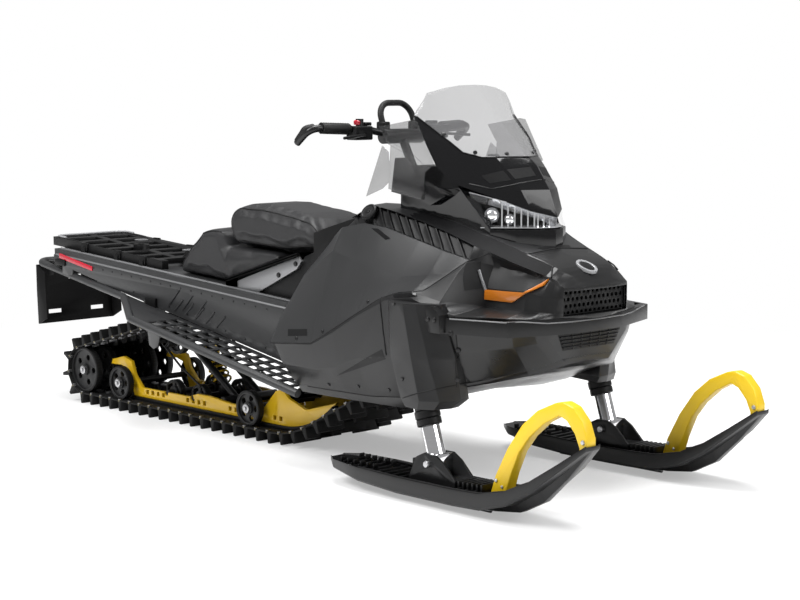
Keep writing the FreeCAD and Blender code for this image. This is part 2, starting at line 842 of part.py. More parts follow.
def make_hitch():
    """Tow tongue on a cross plate between the tunnel's side walls."""
    x0 = fore(hitch_front_x_share)
    x1 = fore(hitch_rear_x_share)
    z0 = up(hitch_z_share)
    plate = Part.makeBox(x0 - x1, hitch_width, hitch_plate, V(x1, -hitch_width / 2, z0))
    bridge = Part.makeBox(hitch_width, 2 * tunnel_inner_y, hitch_plate,
                          V(x0 - hitch_width, -tunnel_inner_y, z0))
    bore = Part.makeCylinder(hitch_bore / 2, 2 * overrun, V(x1 + hitch_width / 2, 0, z0 - overrun))
    return fuse_all([plate, bridge]).cut(bore)


save("tow_hitch", make_hitch())


# Seat and console

seat_lower_shares = [
    (-0.4075, 0.4409), (-0.4025, 0.4724), (-0.3629, 0.5323), (-0.3145, 0.5795), (-0.2767, 0.589),
    (-0.239, 0.5858),
    (-0.2201, 0.5386), (-0.039, 0.5283), (-0.0082, 0.5276), (-0.2189, 0.4299)]
seat_upper_shares = [
    (-0.2138, 0.5425), (-0.2314, 0.5748), (-0.234, 0.6142), (-0.2214, 0.6417), (-0.195, 0.6598),
    (-0.1132, 0.663),
    (0.0088, 0.6441), (0.0616, 0.6268), (0.0824, 0.6), (0.0824, 0.548), (-0.0384, 0.5323)]
brace_shares = [
    (-0.2314, 0.4252), (-0.1164, 0.4094), (0.0352, 0.4976), (0.0503, 0.5197), (0.0377, 0.5323),
    (-0.2075, 0.4299)]
console_shares = [
    (-0.1069, 0.3937), (-0.1195, 0.422), (0.0352, 0.4961), (0.0528, 0.5323), (0.083, 0.5472),
    (0.083, 0.6), (0.1258, 0.6173), (0.2365, 0.6567),
    (0.2365, 0.3937)]


def seat_block(shares, width):
    """Closed cushion solid that stands on the tunnel."""
    return prism_y(side_view(shares), -width / 2, width / 2).cut(tunnel_below)


low_x = -half_length
high_x = half_length
tunnel_below = prism_y([(low_x, -overrun), (high_x, -overrun), (high_x, tunnel_line(high_x, seat_gap)),
                        (low_x, tunnel_line(low_x, seat_gap))], -body_width, body_width)
save("seat_lower", seat_block(seat_lower_shares, seat_width))
save("seat_upper", seat_block(seat_upper_shares, seat_upper_width))


# Body shell, split where the real panels meet

body_station_shares = [
    (0.1069, [(0, 0.5433), (0.3, 0.5417), (0.49, 0.5354), (0.525, 0.526), (0.725, 0.4724),
              (0.995, 0.3244), (1.0025, 0.3181), (0.965, 0.2677),
                 (0.83, 0.1921), (0, 0.2063)]),
    (0.239, [(0, 0.6575), (0.35, 0.6598), (0.5375, 0.6535), (0.655, 0.6299), (0.76, 0.5709),
             (1, 0.3417), (1.005, 0.3323), (0.9825, 0.2677),
                 (0.83, 0.1921), (0, 0.2008)]),
    (0.3082, [(0, 0.6835), (0.4125, 0.6945), (0.57, 0.6913), (0.655, 0.6457), (0.785, 0.5551),
              (1, 0.3827), (1.0075, 0.3732), (0.995, 0.2835),
                 (0.8275, 0.1929), (0, 0.2008)]),
    (0.3774, [(0, 0.6866), (0.445, 0.6913), (0.615, 0.6819), (0.665, 0.6378), (0.815, 0.5433),
              (1, 0.4315), (1.01, 0.422), (1, 0.315),
                 (0.825, 0.1945), (0, 0.2008)]),
    (0.4654, [(0, 0.6835), (0.5, 0.6756), (0.615, 0.6598), (0.67, 0.6142), (0.845, 0.526),
              (1.005, 0.4835), (1.015, 0.4724), (1, 0.3307),
                 (0.825, 0.1961), (0, 0.211)]),
    (0.5346, [(0, 0.6677), (0.51, 0.6598), (0.6, 0.6362), (0.665, 0.5937), (0.82, 0.537), (1, 0.4992),
              (1.015, 0.485), (0.98, 0.3465),
                 (0.8275, 0.222), (0, 0.2283)]),
    (0.5994, [(0, 0.6441), (0.455, 0.6323), (0.575, 0.6079), (0.635, 0.5748), (0.75, 0.5465),
              (0.95, 0.4819), (0.995, 0.4614), (0.955, 0.3622),
                 (0.8275, 0.2559), (0, 0.2559)]),
    (0.6352, [(0, 0.6276), (0.405, 0.6157), (0.545, 0.5945), (0.5, 0.5622), (0.585, 0.5102),
              (0.595, 0.4646), (0.945, 0.452), (0.905, 0.3622),
                  (0.795, 0.2724), (0, 0.2701)]),
    (0.6824, [(0, 0.6031), (0.3675, 0.5953), (0.5, 0.5732), (0.46, 0.5512), (0.58, 0.5087),
              (0.59, 0.463), (0.865, 0.4504), (0.8125, 0.3701),
                  (0.68, 0.2866), (0, 0.2835)]),
    (0.7296, [(0, 0.5803), (0.3325, 0.5748), (0.45, 0.5535), (0.42, 0.5433), (0.555, 0.5079),
              (0.57, 0.4614), (0.75, 0.4488), (0.68, 0.378),
                  (0.5, 0.3039), (0, 0.3008)]),
    (0.7579, [(0, 0.5654), (0.31, 0.5606), (0.4, 0.5417), (0.405, 0.5354), (0.49, 0.4976),
              (0.5, 0.4598), (0.62, 0.4472), (0.54, 0.3858),
                  (0.325, 0.3197), (0, 0.3165)]),
    (0.7686, [(0, 0.5575), (0.28, 0.5512), (0.3825, 0.5354), (0.39, 0.5276), (0.45, 0.4945),
              (0.46, 0.4583), (0.535, 0.4457), (0.46, 0.3937),
                  (0.25, 0.3276), (0, 0.3307)]),
    (0.7786, [(0, 0.5441), (0.21, 0.5417), (0.38, 0.5252), (0.3875, 0.5165), (0.415, 0.4929),
              (0.425, 0.4575), (0.44, 0.4457), (0.325, 0.4394),
                  (0.15, 0.4354), (0, 0.4346)]),
    (0.7874, [(0, 0.5315), (0.19, 0.5299), (0.3725, 0.5181), (0.375, 0.5118), (0.375, 0.4913),
              (0.37, 0.4583), (0.36, 0.4472), (0.275, 0.4409),
                  (0.13, 0.4378), (0, 0.437)]),
    (0.7969, [(0, 0.5189), (0.1, 0.5185), (0.185, 0.5173), (0.19, 0.5118), (0.19, 0.4882),
              (0.185, 0.4598), (0.18, 0.4488), (0.13, 0.4425),
                  (0.065, 0.4402), (0, 0.4394)]),
]
hood_edge_shares = [
    (0.0629, 0.6299), (0.1069, 0.5433), (0.239, 0.6528), (0.3082, 0.6913), (0.3774, 0.6819),
    (0.4654, 0.6598), (0.5346, 0.6362), (0.5994, 0.6079),
    (0.6352, 0.5945), (0.6824, 0.5732), (0.7296, 0.5535), (0.7579, 0.5409), (0.7686, 0.5346),
    (0.8805, 0.5197)]
panel_top_shares = [
    (0.0629, 0.4882), (0.1069, 0.526), (0.239, 0.6299), (0.3082, 0.6457), (0.3774, 0.6378),
    (0.4654, 0.6142), (0.5346, 0.5937), (0.5994, 0.5748)]
belt_line_shares = [
    (0.0629, 0.3181), (0.1635, 0.3276), (0.2377, 0.337), (0.3377, 0.4031), (0.4403, 0.4724),
    (0.4956, 0.4945), (0.5528, 0.5039)]
belly_line_shares = [
    (0.0629, 0.2142), (0.3774, 0.2126), (0.4654, 0.2236), (0.5346, 0.2409), (0.5994, 0.2677),
    (0.6352, 0.2819), (0.6824, 0.2976), (0.7296, 0.3165),
    (0.7579, 0.3339), (0.7686, 0.3433), (0.8805, 0.3937)]
lower_rear_shares = [(0.1887, -0.0472), (0.161, 0.1921), (0.1233, 0.3197)]
steer_foot_share = [(0.3396, 0.6457)]
bar_clamp_share = [(0.2465, 0.863)]
side_rear_shares = [(0.0975, 0.3197), (0.1126, 0.4173), (0.1459, 0.5181), (0.2075, 0.6016)]
cap_plan_shares = [(0.6906, 0.375), (0.7497, 0.32), (0.7497, 0.75)]
body_front_x_share = 0.8113
nose_rear_x_share = 0.6352
hood_rear_x_share = 0.239
hood_floor_share = 0.3937
vent_rear_x_share = 0.2403
vent_inner_share = 0.49
vent_last_station = 8
shoulder_corners = 5
vent_recess = 12.0
vent_lap = 8.0
vent_slat = 7.0
vent_slat_pitch = 44.0
vent_slat_lean = 70.0


def body_rings(inset):
    """Body sections moved inward by a distance."""
    rings = []
    for share, points in body_station_shares:
        half = [(side(a), up(b)) for a, b in points]
        ring = half + [(-y, z) for y, z in reversed(half[1:-1])]
        rings.append((fore(share), inset_ring(ring, inset)))
    return rings


def shoulder_solid(inset):
    """Form of the body's upper flanks alone, moved inward by a distance, with upright sides below."""
    rings = []
    for share, points in body_station_shares[1:vent_last_station]:
        half = [(side(a), up(b)) for a, b in points]
        half = half[:shoulder_corners] + [(half[shoulder_corners - 1][0], half[-1][1]), half[-1]]
        ring = half + [(-y, z) for y, z in reversed(half[1:-1])]
        rings.append((fore(share), inset_ring(ring, inset)))
    return loft_x(rings)


def inset_ring(ring, inset):
    """Polygon with each edge moved inward by a distance; the corners run clockwise."""
    moved = []
    count = len(ring)
    for number in range(count):
        ay, az = ring[number - 1]
        by, bz = ring[number]
        cy, cz = ring[(number + 1) % count]
        first = math.hypot(by - ay, bz - az)
        second = math.hypot(cy - by, cz - bz)
        n1 = ((bz - az) / first, -(by - ay) / first)
        n2 = ((cz - bz) / second, -(cy - by) / second)
        scale = inset / (1 + n1[0] * n2[0] + n1[1] * n2[1])
        moved.append((by + (n1[0] + n2[0]) * scale, bz + (n1[1] + n2[1]) * scale))
    return moved


def body_solid(inset, rear_extra, front_cut):
    """Outer or inner form of the body, with extra length behind for a clean opening."""
    rings = body_rings(inset)
    if rear_extra > 0:
        rings = [(rings[0][0] - rear_extra, rings[0][1])] + rings
    if front_cut > 0:
        rings[-1] = (rings[-1][0] - front_cut, rings[-1][1])
    return loft_x(rings)


def between(low_line, high_line, rear_x, front_x):
    """Region in side view between two lines of points, across the whole body."""
    low = [(x, z) for x, z in low_line]
    high = [(x, z) for x, z in high_line]
    region = prism_y(low + list(reversed(high)), -body_width, body_width)
    ends = [(rear_x, 0), (front_x, 0), (front_x, overall_height), (rear_x, overall_height)]
    return region.common(prism_y(ends, -body_width, body_width))


def shifted(line, rise):
    """Line of points moved up by a distance."""
    return [(x, z + rise) for x, z in line]


def line_height(line, x):
    """Height of a line of points above a forward place."""
    for (ax, az), (bx, bz) in zip(line, line[1:]):
        if ax <= x <= bx:
            return az + (bz - az) * (x - ax) / (bx - ax)
    return line[-1][1]


body_outer = body_solid(0, 0, 0)
body_shell = body_outer.cut(body_solid(panel_wall, overrun, panel_wall))
tunnel_front_x = side_view(tunnel_side_shares)[-1][0] + seat_gap
tunnel_room_y = half_tunnel + tunnel_rib_rise + seat_gap
tunnel_room = prism_y(
    [(0, -overrun), (tunnel_front_x, -overrun), (tunnel_front_x, tunnel_line(tunnel_front_x, seat_gap)),
     (0, tunnel_line(0, seat_gap))], -tunnel_room_y, tunnel_room_y)
lower_rear = side_view(lower_rear_shares)
rear_wedge = prism_y([(0, -overrun)] + lower_rear + [(0, lower_rear[-1][1])], -body_width, body_width)
post_foot = place_y(steer_foot_share, 0)
post_head = place_y(bar_clamp_share, 0)
post_bore = rod(post_foot, post_head, post_diameter + 2 * seat_gap)
body_shell = body_shell.cut([tunnel_room, rear_wedge, post_bore])
hood_edge = side_view(hood_edge_shares)
panel_top = side_view(panel_top_shares)
belt_line = side_view(belt_line_shares)
belly_line = side_view(belly_line_shares)
sky = [(hood_edge[0][0], overall_height), (hood_edge[-1][0], overall_height)]
ground = [(belly_line[0][0], 0), (belly_line[-1][0], 0)]
rear_x = hood_edge[0][0]
front_x = fore(body_front_x_share)
nose_rear_x = fore(nose_rear_x_share)

# The nose cap takes the hood's front plateau, inside the two flanks
cap_half = [(fore(a), side(b)) for a, b in cap_plan_shares]
cap_half.append((front_x, cap_half[-1][1]))
cap_room = prism_z(cap_half + [(x, -y) for x, y in reversed(cap_half)], 0, overall_height)
hood_rear_x = fore(hood_rear_x_share)
vent_inner_y = side(vent_inner_share)
top_zone = between(hood_edge, sky, hood_rear_x, front_x)
top_shell = body_shell.common(top_zone)
middle_zone = Part.makeBox(nose_rear_x - hood_rear_x, 2 * vent_inner_y, overall_height,
                           V(hood_rear_x, -vent_inner_y, up(hood_floor_share)))
hood = fuse_all([top_shell.cut(cap_room), body_shell.common(middle_zone)])
nose_zone = between(belly_line, hood_edge, nose_rear_x, front_x)
nose_cover = body_shell.common(nose_zone).fuse(top_shell.common(cap_room)).removeSplitter()

side_front = panel_top[-1]
side_outline = belt_line + [side_front] + list(reversed(panel_top[:-1]))
side_zone = prism_y(side_outline, -body_width, body_width)
rear_cut = side_view(side_rear_shares)
rear_zone = prism_y([(rear_x - overrun, rear_cut[0][1])] + rear_cut + [(rear_x - overrun, rear_cut[-1][1])],
                    -body_width, body_width)
side_panels = body_shell.common(side_zone).cut(rear_zone)
shoulder = [(x, line_height(hood_edge, x)) for x in (side_front[0], nose_rear_x)]
lower_outline = [(x, z) for x, z in belly_line if x < nose_rear_x]
lower_outline = lower_outline + [(nose_rear_x, line_height(belly_line, nose_rear_x))]
lower_outline = lower_outline + list(reversed(shoulder)) + [side_front] + list(reversed(belt_line))
lower_panels = body_shell.common(prism_y(lower_outline, -body_width, body_width)).cut(hood)
belly_pan = body_shell.common(between(ground, belly_line, rear_x, front_x))
save("hood", hood)
save("side_panels", side_panels)
save("belly_pan", belly_pan)


# Slatted vents between the hood's edge and the side panels

vent_front_x = side_front[0] - vent_lap
vent_rear_x = fore(vent_rear_x_share)
vent_low = shifted(panel_top, -vent_lap)
vent_high = shifted(hood_edge, vent_lap)


def make_vents():
    """Left and right vent screens: a recessed back wall, two lips and a row of leaning slats."""
    behind = shoulder_solid(panel_wall + seat_gap)
    recess = shoulder_solid(vent_recess)
    depth = shoulder_solid(vent_recess + panel_wall)
    whole = between(vent_low, vent_high, vent_rear_x, vent_front_x)
    back = recess.cut(depth).common(whole)
    rim = behind.cut(depth)
    low_lip = rim.common(between(vent_low, panel_top, vent_rear_x, vent_front_x))
    high_lip = rim.common(between(hood_edge, vent_high, vent_rear_x, vent_front_x))
    slats = []
    x = vent_rear_x
    while x + vent_slat_lean + vent_slat < vent_front_x:
        foot = x + vent_slat_lean
        slat = [(at_x, line_height(vent_high, at_x)) for at_x in (x, x + vent_slat)]
        slat = slat + [(at_x, line_height(vent_low, at_x)) for at_x in (foot + vent_slat, foot)]
        slats.append(prism_y(slat, -body_width, body_width))
        x = x + vent_slat_pitch
    bars = rim.common(Part.makeCompound(slats)).common(whole)
    middle = Part.makeBox(overall_length, 2 * vent_inner_y, overall_height, V(0, -vent_inner_y, 0))
    screens = fuse_all([back, low_lip, high_lip] + bars.Solids).cut(middle)
    left = max(screens.Solids, key=lambda solid: solid.CenterOfMass.y * solid.Volume)
    return both_sides(left)


save("side_vents", make_vents())


# Strut columns on the lower panels

column_size = 120.0
column_ring_shares = [
    (0.4756, [(-0.6917, -0.125), (1.1833, -0.4167), (1.2833, -0.1), (0.725, 0.25), (0.3833, 0.3667),
              (-0.1833, 0.2833)]),
    (0.3465, [(-1.1417, -0.2083), (1.1083, -0.6667), (1.1667, -0.3167), (0.7, 0.2167),
              (0.2583, 0.3833), (-0.6, 0.2833)]),
    (0.2441, [(-1.125, -0.5417), (0.7917, -0.8333), (0.8333, -0.5), (0.6333, 0.0833),
              (0.1917, 0.3833), (-0.5417, 0.3167)]),
    (0.2236, [(-0.7, -0.4167), (0.5083, -0.6667), (0.5667, -0.3333), (0.4333, 0.15), (0.05, 0.375),
              (-0.45, 0.3083)]),
]
column_bore_top_share = 0.4409
strut_foot_x_share = 0.6151
strut_foot_z_share = 0.0945
strut_tube_top_share = 0.4378
strut_tube_low_share = 0.1945


def strut_axis(z):
    """Forward place of the strut axis at a height."""
    return fore(strut_foot_x_share) - strut_rake_share * (z - up(strut_foot_z_share))


def strut_point(z):
    """Point on the left strut axis at a height."""
    return V(strut_axis(z), half_stance, z)


def make_column():
    """Left strut column: a tapering housing round the strut's axis with the bore of its tube."""
    wires = []
    for share, points in column_ring_shares:
        z = up(share)
        ring = [V(strut_axis(z) + a * column_size, half_stance + b * column_size, z) for a, b in points]
        wires.append(closed_wire(ring))
    column = Part.makeLoft(wires, True, True)
    low = strut_point(0)
    high = strut_point(up(column_bore_top_share))
    return column.cut(rod(low, high, strut_tube_diameter))


def make_strut_tube():
    """Left outer strut tube that guides the strut leg."""
    low = strut_point(up(strut_tube_low_share))
    high = strut_point(up(strut_tube_top_share))
    outer = rod(low, high, strut_tube_diameter)
    inner = rod(strut_point(0), high - (high - low).normalize() * panel_wall, strut_tube_bore)
    return outer.cut(inner)


column = make_column().cut(body_outer)
tube_room = rod(strut_point(0), strut_point(up(strut_tube_top_share) + seat_gap), strut_tube_diameter)
lower_panels = fuse_all([lower_panels, column, mirrored(column)]).cut([tube_room, mirrored(tube_room)])
save("lower_panels", lower_panels)
nose_cover = nose_cover.cut([column, mirrored(column)])
save("strut_tubes", both_sides(make_strut_tube()))
console_solid = prism_y(side_view(console_shares), -console_width / 2, console_width / 2)
save("console", console_solid.cut([body_outer, tunnel_below]))
brace_y = max(seat_width, console_width) / 2 + seat_gap
brace = prism_y(side_view(brace_shares), brace_y, brace_y + brace_thickness)
save("seat_braces", both_sides(brace.cut(tunnel_below)))


# Front bumper, grille, lamps

bumper_plan_shares = [(0.5912, 1.03), (0.7484, 0.8325), (0.7899, 0.3125), (0.795, 0)]
bumper_low_share = 0.4071
bumper_clamp_shares = [
    (0.5818, 0.4094), (0.5818, 0.4724), (0.6088, 0.4724), (0.6239, 0.4528), (0.6239, 0.4094)]
bumper_clamp_side_shares = [0.93, 1.06]
grille_low_share = 0.4504
grille_high_share = 0.5102
grille_x_share = 0.7711
grille_half_share = 0.375
nose_face_x_share = 0.7786
marker_shares = [
    (0.6352, 0.4819), (0.6352, 0.5055), (0.7283, 0.5063), (0.7566, 0.5386), (0.7522, 0.5228),
    (0.7044, 0.4811)]
marker_side_shares = [0.375, 0.75]
marker_depth = 8.0


def make_front_bumper():
    """Flat wrap-round bar in front of the nose with a clamp at each end on the strut columns."""
    outer = [(fore(a), side(b)) for a, b in bumper_plan_shares]
    inner = [(x - front_bumper_depth, y - front_bumper_depth / 4) for x, y in outer[:-1]]
    inner.append((outer[-1][0] - front_bumper_depth, 0))
    ring = outer + [(x, -y) for x, y in reversed(outer[:-1])]
    hole = inner + [(x, -y) for x, y in reversed(inner[:-1])]
    z0 = up(bumper_low_share)
    bar = prism_z(ring, z0, z0 + front_bumper_height)
    bar = bar.cut(prism_z(hole, z0 - overrun, z0 + front_bumper_height + overrun))
    near, far = [side(share) for share in bumper_clamp_side_shares]
    clamp = prism_y(side_view(bumper_clamp_shares), near, far)
    bar = fuse_all([bar, clamp, mirrored(clamp)])
    bar = bar.cut([body_outer, column, mirrored(column)])
    return largest(bar)


def largest(shape):
    """The biggest solid of a shape."""
    return max(shape.Solids, key=lambda solid: solid.Volume)


save("front_bumper", make_front_bumper())
grille_half = side(grille_half_share)
grille_low = up(grille_low_share)
grille_high = up(grille_high_share)
nose_face_x = fore(nose_face_x_share)
grille_x = fore(grille_x_share)
opening = Part.makeBox(overrun + front_x - nose_face_x, 2 * grille_half, grille_high - grille_low,
                       V(nose_face_x, -grille_half, grille_low))
save("nose_cover", nose_cover.cut(opening))


def make_grille():
    """Honeycomb mesh panel behind the opening of the nose."""
    width = 2 * (grille_half + grille_bar)
    height = grille_high - grille_low
    corner = V(grille_x, -width / 2, grille_low - grille_bar)
    plate = Part.makeBox(grille_depth, width, height + 2 * grille_bar, corner)
    plate = plate.common(body_solid(panel_wall + seat_gap, 0, 0))
    cell = (height - (grille_rows - 1) * grille_bar) / grille_rows
    step = cell + grille_bar
    columns = int((width - 2 * grille_bar) / step)
    first = -(columns - 1) * step / 2
    holes = []
    for row in range(grille_rows):
        odd = row % 2
        for number in range(columns - odd):
            y = first + number * step + odd * step / 2
            z = grille_low + cell / 2 + row * step
            ring = [V(grille_x - overrun, y + a, z + b) for b, a in regular(0, 0, cell, hole_corners)]
            holes.append(Part.Face(closed_wire(ring)).extrude(V(2 * overrun, 0, 0)))
    return plate.cut(holes)


grille_rows = 4
save("front_grille", largest(make_grille()))


# Cowl with headlamps, windshield and deflectors

screen_ring_shares = [
    (1, [(0.4604, 0), (0.4497, 0.25), (0.434, 0.455), (0.4245, 0.5)]),
    (0.9134, [(0.5258, 0), (0.5, 0.295), (0.4465, 0.555), (0.434, 0.59)]),
    (0.8598, [(0.5736, 0), (0.5459, 0.2625), (0.5006, 0.495), (0.4717, 0.6175)]),
    (0.8, [(0.6308, 0), (0.5962, 0.2375), (0.5428, 0.425), (0.5006, 0.605)]),
    (0.7417, [(0.6654, 0), (0.6384, 0.2125), (0.5881, 0.37), (0.5472, 0.545)]),
    (0.6756, [(0.6874, 0), (0.6629, 0.18), (0.6208, 0.325), (0.5818, 0.49)]),
]
screen_top_shares = [
    (0, 0.9984), (0.15, 0.9969), (0.3, 0.9906), (0.455, 0.978), (0.59, 0.9173), (0.625, 0.8488),
    (0.7, 0.8488), (0.7, 1.0472), (0, 1.0472)]
glass_zone_shares = [
    (0, 0.8205), (0.325, 0.8205), (0.42, 0.8315), (0.5, 0.8724), (0.57, 0.9197), (0.6, 0.9307),
    (0.6, 1.0472), (0, 1.0472)]
visor_line_shares = [(0.3774, 0.8449), (0.7233, 0.6543)]
dash_line_shares = [
    (0.3774, 0.789), (0.434, 0.7984), (0.5346, 0.7953), (0.6308, 0.8205), (0.7233, 0.8205)]
lamp_ring_shares = [
    (0.5748, [(0.683, 0), (0.6742, 0.125), (0.644, 0.295), (0.6025, 0.4125), (0.3774, 0.5125)]),
    (0.6457, [(0.683, 0), (0.6742, 0.125), (0.644, 0.295), (0.6025, 0.4125), (0.3774, 0.5125)]),
    (0.7441, [(0.683, 0), (0.6572, 0.175), (0.5849, 0.38), (0.5447, 0.5125), (0.3774, 0.5125)]),
    (0.8016, [(0.6289, 0), (0.5943, 0.2), (0.5346, 0.375), (0.5006, 0.5125), (0.3774, 0.5125)]),
]
lamp_rear_shares = [(0.6025, 0.6449), (0.5447, 0.7441), (0.5107, 0.8016)]
lamp_depth = 45.0
cheek_shares = [
    (0.3849, 0.815), (0.4245, 0.7701), (0.5157, 0.7323), (0.5277, 0.726), (0.4862, 0.7008),
    (0.4597, 0.7126), (0.3742, 0.7291)]
cheek_side_shares = [0.475, 0.6075]
deflector_shares = [
    (0.3472, 0.8929), (0.4396, 0.911), (0.4541, 0.9087), (0.505, 0.8024), (0.483, 0.785),
    (0.4579, 0.7984), (0.4447, 0.8173), (0.3711, 0.8504)]
lower_deflector_shares = [
    (0.356, 0.8449), (0.3736, 0.8299), (0.378, 0.7567), (0.356, 0.7362), (0.3082, 0.7142)]


def half_ring(points):
    """Mirrored plan outline from half of it, front centre first."""
    half = [(fore(a), side(b)) for a, b in points]
    return half + [(x, -y) for x, y in reversed(half[1:])]


def loft_z(rings):
    """Faceted solid through (z, [(x, y), ...]) rings with as many corners each."""
    wires = [closed_wire([V(x, y, z) for x, y in ring]) for z, ring in rings]
    return Part.makeLoft(wires, True, True)


def plan_loft(stations, inset):
    """Solid through level plan outlines moved inward by a distance."""
    rings = []
    for share, points in stations:
        rings.append((up(share), inset_ring(half_ring(points), -inset)))
    return loft_z(rings)


def open_loft(stations, inset):
    """Solid inside the screen that runs out through the open rear."""
    rings = []
    for share, points in stations:
        half = [(fore(a), side(b)) for a, b in points]
        half = half + [(half[-1][0] - overrun, half[-1][1])]
        ring = half + [(x, -y) for x, y in reversed(half[1:])]
        rings.append((up(share), inset_ring(ring, -inset)))
    return loft_z(rings)


def prism_x(points, x0, x1):
    """Solid with a (y, z) outline between two forward places."""
    face = Part.Face(closed_wire([V(x0, y, z) for y, z in points]))
    return face.extrude(V(x1 - x0, 0, 0))


def front_zone(shares):
    """Region through the machine inside a mirrored front-view outline."""
    half = [(side(a), up(b)) for a, b in shares]
    return prism_x(half + [(-y, z) for y, z in reversed(half)], 0, half_length)


screen_volume = plan_loft(screen_ring_shares, 0).cut(front_zone(screen_top_shares))
screen_shell = screen_volume.cut(open_loft(screen_ring_shares, windshield_wall))
visor_line = side_view(visor_line_shares)
visor_rear = visor_line[0][0]
visor_front = visor_line[-1][0]
above_visor = prism_y(visor_line + [(visor_front, 2 * overall_height), (visor_rear, 2 * overall_height)],
                      -body_width, body_width)
dash_line = side_view(dash_line_shares)
below_dash = prism_y(dash_line + [(dash_line[-1][0], 0), (dash_line[0][0], 0)], -body_width, body_width)
glass_zone = front_zone(glass_zone_shares)
windshield = largest(screen_shell.common(glass_zone))
frame_shell = largest(screen_shell.common(above_visor).cut(glass_zone))
visor = largest(screen_volume.common(above_visor).common(below_dash))
lamp_volume = plan_loft(lamp_ring_shares, 0)
lamp_line = side_view(lamp_rear_shares)
lamp_front = prism_y(lamp_line + [(visor_front, lamp_line[-1][1]), (visor_front, lamp_line[0][1])],
                     -body_width, body_width)
lamp_core = plan_loft(lamp_ring_shares, lamp_depth + seat_gap).common(below_dash)
pod_core = lamp_volume.cut(lamp_front).common(below_dash)
cheek_inner, cheek_outer = [side(share) for share in cheek_side_shares]
cheek = prism_y(side_view(cheek_shares), cheek_inner, cheek_outer)
cowl = fuse_all([pod_core, lamp_core, visor, frame_shell, cheek, mirrored(cheek)])
cowl = largest(cowl.cut([body_outer, windshield]))
lamps = lamp_volume.common(lamp_front).cut([above_visor, cowl, body_outer])
lamp_half = Part.makeBox(overall_length, body_width, overall_height, V(0, seat_gap, 0))
headlamp = largest(lamps.common(lamp_half))
save("windshield", windshield)
save("gauge_pod", cowl)
save("headlamps", both_sides(headlamp))


# Clear deflectors beside the cowl

deflector_foot = 24.0
deflector_side_share = 0.63
deflector_y = side(deflector_side_share)
deflector_foot_shares = [(0.3799, 0.748), (0.4591, 0.7283)]
deflector = prism_y(side_view(deflector_shares), deflector_y, deflector_y + windshield_wall)
lower_deflector = prism_y(side_view(lower_deflector_shares), deflector_y, deflector_y + windshield_wall)
link_shares = [(0.3711, 0.7362), (0.4654, 0.7126), (0.478, 0.7953), (0.4403, 0.8268), (0.3774, 0.8543)]
link = prism_y(side_view(link_shares), deflector_y - windshield_wall, deflector_y)
feet = []
for x, z in side_view(deflector_foot_shares):
    foot = Part.makeBox(deflector_foot, deflector_y - cheek_outer, deflector_foot, V(x, cheek_outer, z))
    feet.append(foot)
deflectors = fuse_all([deflector, lower_deflector, link] + feet).cut([windshield, cowl])
save("wind_deflectors", both_sides(largest(deflectors)))
marker_inner, marker_outer = [side(share) for share in marker_side_shares]
marker = prism_y(side_view(marker_shares), marker_inner, marker_outer)
grown = body_solid(-marker_depth, 0, 0)
save("side_markers", both_sides(largest(marker.common(grown).cut(body_outer))))



# Engine block and its mounts

engine_share = [(0.3522, 0.2598)]


def make_engine():
    """Plain block for the engine on a mount plate that stands on the belly pan."""
    x, z = side_view(engine_share)[0]
    block = Part.makeBox(engine_length, engine_width, engine_height, V(x, -engine_width / 2, z))
    corner = V(x + engine_length / 4, -engine_width / 4, 0)
    foot = Part.makeBox(engine_length / 2, engine_width / 2, z, corner)
    inside = body_solid(panel_wall + seat_gap, 0, panel_wall)
    return block.fuse(foot).common(inside).removeSplitter()


save("engine", make_engine())


# Suspension pieces that need the tunnel

save("suspension_arms", Part.makeCompound([rear_arm, front_arm]))
x, z = drive_axle_place
drive = [rod_y(x, z, axle_diameter, -tunnel_inner_y, tunnel_inner_y)]
for y in (-sprocket_spacing / 2, sprocket_spacing / 2):
    drive.append(make_sprocket(y))
save("drive_axle", fuse_all(drive))
save("guide_wheels", Part.makeCompound(wheel_sets))
eye_reach = shock_body_diameter / 2 + seat_gap
low_reach = (axle_diameter / 2 + eye_reach) * math.cos(math.pi / 4)
low_axle_z = wheel_height(inner_bogie_diameter)
low = V(fore(inner_bogie_x_shares[1]) + low_reach, 0, low_axle_z + low_reach)
high = V(upper_guide_place[0] + cross_tube / 2 + eye_reach, 0, upper_guide_place[1])
save("shocks", fuse_all(shock(low, high)))


# Skis



# Skis

ski_deck_share = 0.0488
ski_place_shares = [
    (0.3245, ski_deck_share + 0.011, 0.30, 0.0),
    (0.3585, ski_deck_share + 0.0079, 0.72, 0.35),
    (0.4403, ski_deck_share + 0.0031, 0.94, 0.8),
    (0.5535, ski_deck_share, 1.0, 1.0),
    (0.7044, ski_deck_share, 1.0, 1.0),
    (0.7736, ski_deck_share + 0.0031, 1.0, 1.0),
    (0.8365, ski_deck_share + 0.0205, 0.98, 0.8),
    (0.8931, ski_deck_share + 0.0535, 0.9, 0.45),
    (0.9497, ski_deck_share + 0.1024, 0.72, 0.15),
    (1, ski_deck_share + 0.1543, 0.34, 0.0),
]
loop_outer_shares = [
    (0.7623, 0.0472), (0.7761, 0.0976), (0.805, 0.1646), (0.8415, 0.2268), (0.878, 0.2654),
    (0.9208, 0.2898), (0.9409, 0.2945), (0.9629, 0.2858),
    (0.9855, 0.2559), (0.9969, 0.2181), (0.9969, 0.1496)]
loop_inner_shares = [
    (0.8, 0.0472), (0.8151, 0.1055), (0.8346, 0.1606), (0.8591, 0.2), (0.895, 0.2386),
    (0.9308, 0.2622), (0.9484, 0.2535), (0.9673, 0.2268),
    (0.978, 0.1969), (0.9799, 0.1496)]
ski_rim = 12.0
ski_chamfer = 8.0
ski_side_depth = 40.0
